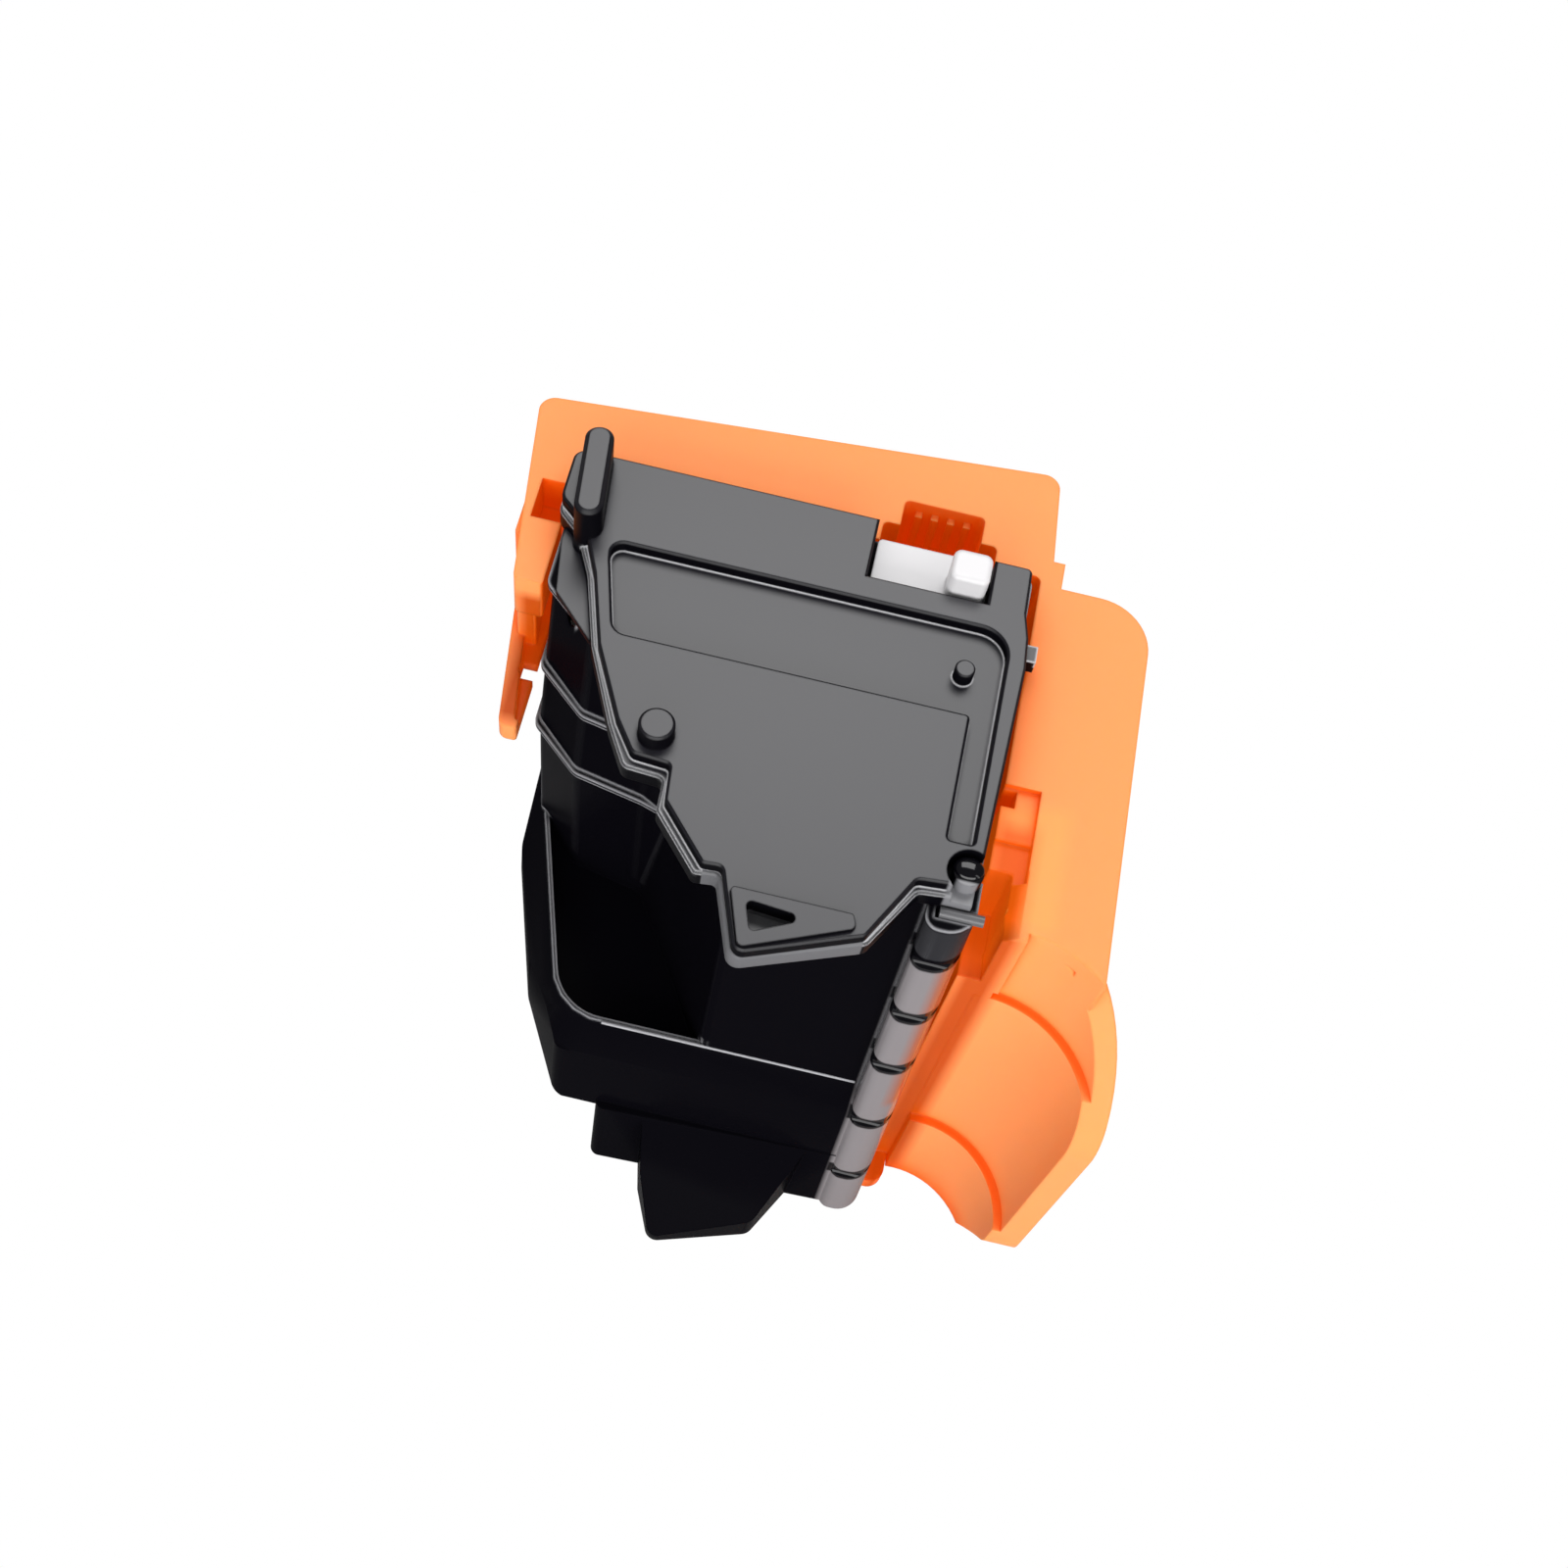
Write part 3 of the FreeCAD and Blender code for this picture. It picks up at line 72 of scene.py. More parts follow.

# Boxes on the lid: the frame round its tongue, with painted light; its hook eye, with painted shade; and its
# hook step, with painted light
TONGUE_LOW = (-0.0015, -0.0270, 0.0595)
TONGUE_HIGH = (0.0112, -0.0175, 0.0619)
ARCH_LOW = (0.0162, -0.0150, 0.0600)
ARCH_HIGH = (0.0196, -0.0120, 0.0626)
HOOK_LOW = (0.0163, -0.0175, 0.0600)
HOOK_HIGH = (0.0212, -0.0148, 0.0640)

# Boxes on the housing whose edges stay black, without the painted edge highlight
QUIET_BOXES = (
    ((-0.0028, -0.0240, 0.0290), (0.0045, -0.0100, 0.0595)),
    ((-0.0184, 0.0010, 0.0515), (-0.0160, 0.0070, 0.0590)),
)

# Boxes on the cap: the wall by the corner post, given a painted glow, and walls near the housing, given
# painted shade
GLOW_LOW = (0.0150, -0.0169, 0.0280)
GLOW_HIGH = (0.0260, -0.0050, 0.0620)
RISER_BOXES = (
    ((0.0192, -0.0300, -0.0020), (0.0236, -0.0070, 0.0600)),
    ((-0.0222, -0.0050, 0.0420), (-0.0180, 0.0070, 0.0580)),
)

# Direction of the cap's faces that look out to the front
CAP_FRONT = (-0.50, -0.66, 0.56)

# Points this near to each other are one, and ends this near to a plane lie on it
NEAR = 0.000002

# Softened pieces: faces that turn less than the first are one flat, edges that turn more than the second are
# rounded, and shading is smooth across turns below the third
FLAT_TURN = math.radians(0.6)
ROUNDED_TURN = math.radians(38.0)
SMOOTH_TURN = math.radians(42.0)
TRIM_SMOOTH_TURN = math.radians(40.0)   # on the bead and the dome
FLAT_WEIGHT = 100                       # how strongly flat faces keep their own normals

# The bead's sides, and the rounding of its ends as a share of its width
BEAD_SIDES = 12
BEAD_END = 0.3

# The dome: its mesh, its squash along each axis, and, as shares of its radius, how far its foot lies below
# its middle and how far the foot's rim is rounded
DOME_SEGMENTS = 32
DOME_RINGS = 16
DOME_SQUASH = (1.0, 0.8, 0.42)
DOME_FOOT = 0.2
DOME_FOOT_ROUND = 0.05

# Roughness of the mouldings, and how far their unevenness takes it either way
HOUSING_ROUGH = 0.22
LID_ROUGH = 0.36
CAP_ROUGH = 0.42
INLET_ROUGH = 0.30
ROUGH_SPREAD = 0.05

# Grain of the glossy mouldings and of the cap, as shares of the lid's grain
GLOSS_GRAIN = 0.2
CAP_GRAIN = 0.4

# Softened edges of the cap, and painted edge highlights of the housing and the flange, as shares of the edge
# round
CAP_EDGE = 1.6
HOUSING_EDGE = 2.0
FLANGE_EDGE = 1.4

# Refractive indices, and how the cap's plastic scatters light
LID_INDEX = 1.10
LID_COAT_INDEX = 1.62
CAP_INDEX = 1.35
CAP_SPECULAR = 0.25
CAP_SCATTER = 0.25
SCATTER_DEPTH = 0.0015
SCATTER_REACH = (1.0, 0.45, 0.15)

# Small and hidden pieces: material, colour, roughness, metallic, and the nodes that wear it
PLAIN_FINISHES = (
    ("Rubber", (0.02, 0.02, 0.02, 1.0), 0.7, 0.0, ("inlet_grommet", "manifold_gasket", "nozzle_seal")),
    ("Natural plastic", (0.55, 0.55, 0.52, 1.0), 0.5, 0.0, ("feed_tube", "filter_frame", "vent_ring")),
    ("Foam rubber", (0.30, 0.31, 0.33, 1.0), 0.8, 0.0, ("contact_cushion",)),
    ("Ink foam", (0.55, 0.54, 0.50, 1.0), 0.9, 0.0, ("ink_foam",)),
    ("Steel mesh", (0.55, 0.55, 0.57, 1.0), 0.35, 1.0, ("filter_screen",)),
    ("Vent film", (0.80, 0.80, 0.80, 1.0), 0.7, 0.0, ("vent_membrane",)),
    ("Fired alumina", (0.72, 0.71, 0.66, 1.0), 0.6, 0.0, ("manifold",)),
    ("Silicon", (0.12, 0.13, 0.17, 1.0), 0.12, 0.8, ("nozzle_die",)),
    ("Contact gold", (0.90, 0.62, 0.22, 1.0), 0.2, 1.0, ("contact_pads",)),
    ("Epoxy", (0.02, 0.02, 0.022, 1.0), 0.2, 0.0, ("encapsulant_beads",)),
    ("Pin satin", (0.10, 0.10, 0.105, 1.0), 0.3, 0.0, ("hook_pin",)),
)

# Distance between two rows of nozzles, in nozzle pitches
NOZZLE_ROW_PITCHES = 6

# Studio: where the lights aim, the white that the camera sees, the floor's tone in diffuse light, and the
# dimmer tones of floor and world in reflections
LIGHTS_AIM = (0.0, -0.005, 0.045)
WHITE = (1.0, 1.0, 1.0, 1.0)
FLOOR_PALE = (0.55, 0.55, 0.55, 1.0)
FLOOR_DULL = (0.25, 0.25, 0.25, 1.0)
WORLD_DIM = 0.12

# Pieces that stand in for a node with softer edges
SOFT_NAMES = {"cap_shell": "soft_cap_shell", "lid": "soft_lid", "housing": "soft_housing"}


# Sizes and colours that a user would change

class PrintheadCamera(bpy.types.PropertyGroup):
    focal_length: bpy.props.FloatProperty(
        name="Focal length", description="Lens of the matched camera, in millimetres",
        default=44.778, min=10.0, max=200.0)
    sensor: bpy.props.FloatProperty(
        name="Sensor width", description="Sensor width of the matched camera, in millimetres",
        default=36.0, min=1.0)
    place: bpy.props.FloatVectorProperty(
        name="Place", description="Where the camera stands", size=3, subtype="TRANSLATION", unit="LENGTH",
        default=(0.002918, -0.078034, 0.192216), precision=5)
    lean: bpy.props.FloatProperty(
        name="Lean", description="Angle of the view away from straight down",
        default=math.radians(27.5), subtype="ANGLE")
    roll: bpy.props.FloatProperty(
        name="Roll", description="Turn of the picture about the line of sight",
        default=math.radians(13.2), subtype="ANGLE")


class PrintheadFinish(bpy.types.PropertyGroup):
    black: bpy.props.FloatVectorProperty(
        name="Black", description="Colour of the housing's moulding", size=4, subtype="COLOR",
        default=(0.0022, 0.0020, 0.0032, 1.0), min=0.0, max=1.0)
    lid_black: bpy.props.FloatVectorProperty(
        name="Lid", description="Colour of the lid's moulding under its sheen", size=4, subtype="COLOR",
        default=(0.015, 0.0145, 0.0195, 1.0), min=0.0, max=1.0)
    orange: bpy.props.FloatVectorProperty(
        name="Orange", description="Colour of the protective cap", size=4, subtype="COLOR",
        default=(0.93, 0.290, 0.088, 1.0), min=0.0, max=1.0)
    white: bpy.props.FloatVectorProperty(
        name="White", description="Colour of the inlet moulding", size=4, subtype="COLOR",
        default=(0.60, 0.59, 0.60, 1.0), min=0.0, max=1.0)
    edge_round: bpy.props.FloatProperty(
        name="Edge round", description="Radius of the softened edge on moulded pieces",
        default=0.00022, min=0.0, unit="LENGTH", precision=5)
    edge_gain: bpy.props.FloatProperty(
        name="Edge gain", description="How soon an edge turns to its light colour", default=8.0, min=0.0)
    # Painted highlight on the edges of black mouldings
    edge_highlight_grey: bpy.props.FloatVectorProperty(
        name="Edge grey", description="Colour that a black moulding's edges catch", size=4, subtype="COLOR",
        default=(0.34, 0.34, 0.36, 1.0), min=0.0, max=1.0)
    # Painted shade in the cap's hollows
    hollow_shade_orange: bpy.props.FloatVectorProperty(
        name="Deep orange", description="Colour that gathers in the cap's hollows", size=4, subtype="COLOR",
        default=(0.70, 0.085, 0.002, 1.0), min=0.0, max=1.0)
    # Painted glow in the cap's hollows
    orange_glow: bpy.props.FloatVectorProperty(
        name="Orange glow", description="Light that comes through the cap's thin walls into its hollows",
        size=4, subtype="COLOR", default=(0.24, 0.020, 0.0, 1.0), min=0.0, max=1.0)
    # Painted glow on the cap's wall beside the corner post
    wall_glow: bpy.props.FloatVectorProperty(
        name="Wall glow", description="Light that comes through the cap's wall beside the corner post",
        size=4, subtype="COLOR", default=(0.36, 0.045, 0.001, 1.0), min=0.0, max=1.0)
    # Painted shade along the cap's inner corners
    crease_shade_orange: bpy.props.FloatVectorProperty(
        name="Crease orange", description="Fuller colour along the cap's inner corners", size=4,
        subtype="COLOR", default=(0.92, 0.165, 0.016, 1.0), min=0.0, max=1.0)
    # Painted shade on the cap's walls that stand close to the housing
    riser_shade_orange: bpy.props.FloatVectorProperty(
        name="Riser orange", description="Colour of the cap's walls that stand close to the dark housing",
        size=4, subtype="COLOR", default=(0.50, 0.068, 0.002, 1.0), min=0.0, max=1.0)
    track_copper: bpy.props.FloatVectorProperty(
        name="Track copper", description="Colour of the copper tracks under the contact film", size=4,
        subtype="COLOR", default=(0.55, 0.23, 0.06, 1.0), min=0.0, max=1.0)
    track_pitch: bpy.props.FloatProperty(
        name="Track pitch", description="Spacing of the copper tracks", default=0.0009, min=0.0001,
        unit="LENGTH", precision=5)
    nozzle_pitch: bpy.props.FloatProperty(
        name="Nozzle pitch", description="Spacing of the holes along a nozzle row", default=0.0003,
        min=0.00005, unit="LENGTH", precision=5)
    # Painted reflection: grey that the black corner post is painted where it would mirror bright light
    post_reflection_grey: bpy.props.FloatVectorProperty(
        name="Post grey", description="Colour of the rubbed ribbed corner post", size=4, subtype="COLOR",
        default=(0.195, 0.18, 0.187, 1.0), min=0.0, max=1.0)
    # Near black with a faint painted sheen, on the post above its painted reflection
    post_head: bpy.props.FloatVectorProperty(
        name="Post head", description="Colour of the corner post above its first groove", size=4,
        subtype="COLOR", default=(0.022, 0.022, 0.025, 1.0), min=0.0, max=1.0)
    # Painted reflection of the orange cap on the post's side
    post_cap_reflection: bpy.props.FloatVectorProperty(
        name="Post glow", description="Colour on the post's side that faces the cap", size=4, subtype="COLOR",
        default=(0.30, 0.09, 0.045, 1.0), min=0.0, max=1.0)
    wall_sheen: bpy.props.FloatProperty(
        name="Wall sheen", description="Sheen left on the lid's walls, where its flat faces have 1",
        default=0.03, min=0.0, max=1.0)
    # Painted highlight on the lid's outer edges
    rim_highlight_grey: bpy.props.FloatVectorProperty(
        name="Rim grey", description="Colour that the lid's outer edges catch", size=4, subtype="COLOR",
        default=(0.62, 0.62, 0.64, 1.0), min=0.0, max=1.0)
    # Painted light on the frame round the lid's tongue
    tongue_light_grey: bpy.props.FloatVectorProperty(
        name="Tongue grey", description="Colour of the frame round the lid's tongue", size=4, subtype="COLOR",
        default=(0.115, 0.115, 0.122, 1.0), min=0.0, max=1.0)
    # Painted light on the lid's hook step
    hook_light_grey: bpy.props.FloatVectorProperty(
        name="Hook grey", description="Colour of the lid's pale hook step", size=4, subtype="COLOR",
        default=(0.17, 0.17, 0.18, 1.0), min=0.0, max=1.0)
    body_ior: bpy.props.FloatProperty(
        name="Body index", description="Refractive index of the housing's dark walls", default=1.05,
        min=1.0, max=2.0)
    post_gloss: bpy.props.FloatProperty(
        name="Post gloss", description="How much clear sheen the ribbed corner post has", default=0.7,
        min=0.0, max=1.0)
    cap_round: bpy.props.FloatProperty(
        name="Cap round", description="Modelled radius on the cap's edges",
        default=0.0004, min=0.0, unit="LENGTH", precision=5)
    lid_round: bpy.props.FloatProperty(
        name="Lid round", description="Modelled radius on the lid's edges",
        default=0.00012, min=0.0, unit="LENGTH", precision=5)
    housing_round: bpy.props.FloatProperty(
        name="Housing round", description="Modelled radius on the housing's edges",
        default=0.00018, min=0.0, unit="LENGTH", precision=5)
    grain: bpy.props.FloatProperty(
        name="Grain", description="Depth of the spark-eroded grain on satin plastic",
        default=0.00001, min=0.0, unit="LENGTH", precision=6)


class PrintheadDetail(bpy.types.PropertyGroup):
    line_left: bpy.props.FloatProperty(
        name="Ledge line left", description="Where the bead starts, at the tray's corner", default=-0.0080,
        unit="LENGTH", precision=5)
    dome_place: bpy.props.FloatVectorProperty(
        name="Dome place", description="Middle of the glossy dome in the hook's eye", size=3,
        subtype="TRANSLATION", unit="LENGTH", default=(0.01775, -0.01385, 0.06235), precision=5)
    dome_radius: bpy.props.FloatProperty(
        name="Dome radius", description="Radius of the glossy dome in the hook's eye", default=0.00120,
        min=0.0002, unit="LENGTH", precision=5)
    line_width: bpy.props.FloatProperty(
        name="Ledge line width", description="Thickness of the bead along the ledge", default=0.00028,
        min=0.0001, unit="LENGTH", precision=5)


class PrintheadStudio(bpy.types.PropertyGroup):
    floor_size: bpy.props.FloatProperty(
        name="Floor", description="Side of the square floor", default=3.0, unit="LENGTH")
    key_power: bpy.props.FloatProperty(
        name="Key light", description="Power of the large soft light above and behind, in watts",
        default=2.3, min=0.0)
    front_power: bpy.props.FloatProperty(
        name="Front light", description="Power of the low soft light in front, in watts",
        default=4.2, min=0.0)
    strip_power: bpy.props.FloatProperty(
        name="Strip light", description="Power of the upright soft light at the right, in watts",
        default=0.35, min=0.0)
    fill: bpy.props.FloatProperty(
        name="Fill", description="Strength of the even light from all round", default=0.75, min=0.0)


# Small helpers for node trees

def new_group(name, inputs, outputs):
    """An empty shader node group with the named sockets, and its two end nodes."""
    group = bpy.data.node_groups.new(name, "ShaderNodeTree")
    for label, kind, value in inputs:
        socket = group.interface.new_socket(name=label, in_out="INPUT", socket_type=kind)
        socket.default_value = value
    for label, kind in outputs:
        group.interface.new_socket(name=label, in_out="OUTPUT", socket_type=kind)
    start = group.nodes.new("NodeGroupInput")
    end = group.nodes.new("NodeGroupOutput")
    start.location = (-800, 0)
    end.location = (400, 0)
    return group, start, end


def add(tree, kind, x=0, y=0, **values):
    """A node at a place in the tree; keywords named after sockets set them, others are attributes."""
    node = tree.nodes.new(kind)
    node.location = (x, y)
    for name, value in values.items():
        if name in node.inputs:
            node.inputs[name].default_value = value
        else:
            setattr(node, name, value)
    return node


def grain_group():
    """Fine spark-eroded grain with a broader unevenness, as a height and a mask."""
    group, start, end = new_group(
        "Moulded grain",
        [("Fine scale", "NodeSocketFloat", 4000.0), ("Broad scale", "NodeSocketFloat", 90.0),
         ("Broad share", "NodeSocketFloat", 0.3)],
        [("Height", "NodeSocketFloat"), ("Mask", "NodeSocketFloat")])
    place = add(group, "ShaderNodeTexCoord", -800, -300)
    fine = add(group, "ShaderNodeTexNoise", -500, 150, Detail=2.0)
    broad = add(group, "ShaderNodeTexNoise", -500, -150, Detail=3.0)
    mix = add(group, "ShaderNodeMix", -150, 100, data_type="FLOAT")
    link = group.links.new
    link(place.outputs["Object"], fine.inputs["Vector"])
    link(place.outputs["Object"], broad.inputs["Vector"])
    link(start.outputs["Fine scale"], fine.inputs["Scale"])
    link(start.outputs["Broad scale"], broad.inputs["Scale"])
    link(start.outputs["Broad share"], mix.inputs[0])
    link(fine.outputs["Fac"], mix.inputs[2])
    link(broad.outputs["Fac"], mix.inputs[3])
    link(mix.outputs[0], end.inputs["Height"])
    link(broad.outputs["Fac"], end.inputs["Mask"])
    return group


def edge_group():
    """How far the surface turns within a small radius: 1 on an edge, 0 on a flat; it places painted
    highlights and painted shade along edges.
    """
    group, start, end = new_group(
        "Edge turn",
        [("Width", "NodeSocketFloat", 0.0003), ("Gain", "NodeSocketFloat", 8.0)],
        [("Mask", "NodeSocketFloat")])
    wide = add(group, "ShaderNodeBevel", -600, 100, samples=6)
    shape = add(group, "ShaderNodeNewGeometry", -600, -150)
    likeness = add(group, "ShaderNodeVectorMath", -350, 0, operation="DOT_PRODUCT")
    turned = add(group, "ShaderNodeMath", -150, 0, operation="SUBTRACT")
    turned.inputs[0].default_value = 1.0
    lifted = add(group, "ShaderNodeMath", 50, 0, operation="MULTIPLY", use_clamp=True)
    link = group.links.new
    link(start.outputs["Width"], wide.inputs["Radius"])
    link(wide.outputs["Normal"], likeness.inputs[0])
    link(shape.outputs["Normal"], likeness.inputs[1])
    link(likeness.outputs["Value"], turned.inputs[1])
    link(turned.outputs[0], lifted.inputs[0])
    link(start.outputs["Gain"], lifted.inputs[1])
    link(lifted.outputs[0], end.inputs["Mask"])
    return group


def region_group():
    """1 inside a box of the part, soft at its sides, 0 outside it, from the Object coordinates."""
    group, start, end = new_group(
        "Inside box",
        [("Low", "NodeSocketVector", (0.0, 0.0, 0.0)), ("High", "NodeSocketVector", (1.0, 1.0, 1.0)),
         ("Soft", "NodeSocketFloat", 0.0005)],
        [("Mask", "NodeSocketFloat")])
    place = add(group, "ShaderNodeTexCoord", -900, 0)
    here, low, high = (add(group, "ShaderNodeSeparateXYZ", -700, 150 * index) for index in range(3))
    link = group.links.new
    link(place.outputs["Object"], here.inputs[0])
    link(start.outputs["Low"], low.inputs[0])
    link(start.outputs["High"], high.inputs[0])
    last = None
    for axis in range(3):
        for above, below in ((here, low), (high, here)):
            reach = add(group, "ShaderNodeMath", -450, -150 * axis, operation="SUBTRACT")
            link(above.outputs[axis], reach.inputs[0])
            link(below.outputs[axis], reach.inputs[1])
            step = add(group, "ShaderNodeMath", -250, -150 * axis, operation="DIVIDE", use_clamp=True)
            link(reach.outputs[0], step.inputs[0])
            link(start.outputs["Soft"], step.inputs[1])
            if last is None:
                last = step
                continue
            shared = add(group, "ShaderNodeMath", -50, -150 * axis, operation="MULTIPLY")
            link(last.outputs[0], shared.inputs[0])
            link(step.outputs[0], shared.inputs[1])
            last = shared
    link(last.outputs[0], end.inputs["Mask"])
    return group


def crevice_group():
    """1 where other surfaces close a point in, 0 in the open."""
    group, start, end = new_group(
        "Crevice",
        [("Reach", "NodeSocketFloat", 0.001), ("Open", "NodeSocketFloat", 0.8),
         ("Closed", "NodeSocketFloat", 0.4)],
        [("Mask", "NodeSocketFloat")])
    around = add(group, "ShaderNodeAmbientOcclusion", -500, 0, samples=8)
    level = add(group, "ShaderNodeMapRange", -200, 0)
    link = group.links.new
    link(start.outputs["Reach"], around.inputs["Distance"])
    link(around.outputs["AO"], level.inputs["Value"])
    link(start.outputs["Open"], level.inputs["From Min"])
    link(start.outputs["Closed"], level.inputs["From Max"])
    link(level.outputs["Result"], end.inputs["Mask"])
    return group


def facing_group():
    """1 on faces that look along a direction, 0 on faces that look across or away from it."""
    group, start, end = new_group(
        "Facing",
        [("Direction", "NodeSocketVector", (0.0, 0.0, 1.0)), ("Away", "NodeSocketFloat", 0.55),
         ("Along", "NodeSocketFloat", 0.92)],
        [("Mask", "NodeSocketFloat")])
    shape = add(group, "ShaderNodeNewGeometry", -600, 0)
    likeness = add(group, "ShaderNodeVectorMath", -400, 0, operation="DOT_PRODUCT")
    level = add(group, "ShaderNodeMapRange", -200, 0)
    link = group.links.new
    link(shape.outputs["Normal"], likeness.inputs[0])
    link(start.outputs["Direction"], likeness.inputs[1])
    link(likeness.outputs["Value"], level.inputs["Value"])
    link(start.outputs["Away"], level.inputs["From Min"])
    link(start.outputs["Along"], level.inputs["From Max"])
    link(level.outputs["Result"], end.inputs["Mask"])
    return group


def stripe_group():
    """Even stripes across a direction, 1 on a stripe and 0 between."""
    group, start, end = new_group(
        "Stripes",
        [("Direction", "NodeSocketVector", (1.0, 0.0, 0.0)), ("Pitch", "NodeSocketFloat", 0.001),
         ("Share", "NodeSocketFloat", 0.5)],
        [("Mask", "NodeSocketFloat")])
    place = add(group, "ShaderNodeTexCoord", -800, -200)
    along = add(group, "ShaderNodeVectorMath", -600, 0, operation="DOT_PRODUCT")
    count = add(group, "ShaderNodeMath", -400, 0, operation="DIVIDE")
    part = add(group, "ShaderNodeMath", -200, 0, operation="FRACT")
    on = add(group, "ShaderNodeMath", 0, 0, operation="LESS_THAN")
    link = group.links.new
    link(place.outputs["Object"], along.inputs[0])
    link(start.outputs["Direction"], along.inputs[1])
    link(along.outputs["Value"], count.inputs[0])
    link(start.outputs["Pitch"], count.inputs[1])
    link(count.outputs[0], part.inputs[0])
    link(part.outputs[0], on.inputs[0])
    link(start.outputs["Share"], on.inputs[1])
    link(on.outputs[0], end.inputs["Mask"])
    return group


def mask_of(material, group, **values):
    """A group's node in a material, with its inputs set by name."""
    node = add(material.node_tree, "ShaderNodeGroup", -1100, 500, node_tree=group)
    for name, value in values.items():
        node.inputs[name].default_value = value
    return node.outputs["Mask"]


def both(material, first, second):
    """The part that two masks share."""
    node = add(material.node_tree, "ShaderNodeMath", -900, 500, operation="MULTIPLY")
    material.node_tree.links.new(first, node.inputs[0])
    material.node_tree.links.new(second, node.inputs[1])
    return node.outputs[0]


def outside(material, first, second):
    """The part of the first mask that the second leaves free."""
    node = add(material.node_tree, "ShaderNodeMath", -900, 700, operation="SUBTRACT", use_clamp=True)
    material.node_tree.links.new(first, node.inputs[0])
    material.node_tree.links.new(second, node.inputs[1])
    return node.outputs[0]


def tint(material, mask, colour, name="Base Color"):
    """Turns a material's colour to another one where the mask is 1."""
    tree = material.node_tree
    base = tree.nodes["Principled BSDF"].inputs[name]
    mix = add(tree, "ShaderNodeMix", -300, 450, data_type="RGBA")
    mix.inputs[6].default_value = base.default_value
    mix.inputs[7].default_value = colour
    if base.is_linked:
        tree.links.new(base.links[0].from_socket, mix.inputs[6])
    tree.links.new(mask, mix.inputs[0])
    tree.links.new(mix.outputs[2], base)


def glow_in(material, mask, colour):
    """Painted glow, as emission, for light that comes through thin coloured plastic where the mask is 1."""
    shader = material.node_tree.nodes["Principled BSDF"]
    if shader.inputs["Emission Strength"].default_value == 0.0:
        shader.inputs["Emission Color"].default_value = (0.0, 0.0, 0.0, 1.0)
        shader.inputs["Emission Strength"].default_value = 1.0
    tint(material, mask, colour, "Emission Color")


def steer(material, name, mask, unmasked, masked):
    """Runs one of the shader's values from its unmasked level to its masked one."""
    tree = material.node_tree
    socket = tree.nodes["Principled BSDF"].inputs[name]
    level = add(tree, "ShaderNodeMapRange", -300, 700)
    level.inputs["To Min"].default_value = unmasked
    level.inputs["To Max"].default_value = masked
    tree.links.new(mask, level.inputs["Value"])
    tree.links.new(level.outputs["Result"], socket)


def moulded(name, colour, roughness, round_edges, grain_depth, group, specular=0.5, subsurface=0.0,
            index=1.5):
    """Plastic material: softened edges and grain feed the normal, unevenness feeds the roughness."""
    material = bpy.data.materials.new(name)
    material.use_nodes = True
    tree = material.node_tree
    shader = tree.nodes["Principled BSDF"]
    shader.inputs["Base Color"].default_value = colour
    shader.inputs["Specular IOR Level"].default_value = specular
    shader.inputs["IOR"].default_value = index
    shader.inputs["Subsurface Weight"].default_value = subsurface
    shader.inputs["Subsurface Scale"].default_value = SCATTER_DEPTH
    shader.inputs["Subsurface Radius"].default_value = SCATTER_REACH
    grain = add(tree, "ShaderNodeGroup", -700, -200, node_tree=group)
    spread = add(tree, "ShaderNodeMapRange", -450, 100)
    spread.inputs["To Min"].default_value = roughness - ROUGH_SPREAD
    spread.inputs["To Max"].default_value = roughness + ROUGH_SPREAD
    tree.links.new(grain.outputs["Mask"], spread.inputs["Value"])
    tree.links.new(spread.outputs["Result"], shader.inputs["Roughness"])
    edge = add(tree, "ShaderNodeBevel", -700, -500, samples=6, Radius=round_edges)
    bump = add(tree, "ShaderNodeBump", -300, -300, Distance=grain_depth, Strength=1.0)
    tree.links.new(grain.outputs["Height"], bump.inputs["Height"])
    tree.links.new(edge.outputs["Normal"], bump.inputs["Normal"])
    tree.links.new(bump.outputs["Normal"], shader.inputs["Normal"])
    return material


def plain(name, colour, roughness, metallic=0.0):
    """A material of one colour."""
    material = bpy.data.materials.new(name)
    material.use_nodes = True
    shader = material.node_tree.nodes["Principled BSDF"]
    shader.inputs["Base Color"].default_value = colour
    shader.inputs["Roughness"].default_value = roughness
    shader.inputs["Metallic"].default_value = metallic
    return material


def stand_in(node):
    """The softened piece of a node where there is one, or else the node."""
    return bpy.data.objects.get(SOFT_NAMES.get(node, ""), NODES[node])


def dress(node, material):
    """Gives a node, or the piece that stands in for it, one material."""
    piece = stand_in(node)
    piece.data.materials.clear()
    piece.data.materials.append(material)


def ready():
    """Nothing selected, so the next operator works only on what it makes."""
    bpy.ops.object.select_all(action="DESELECT")


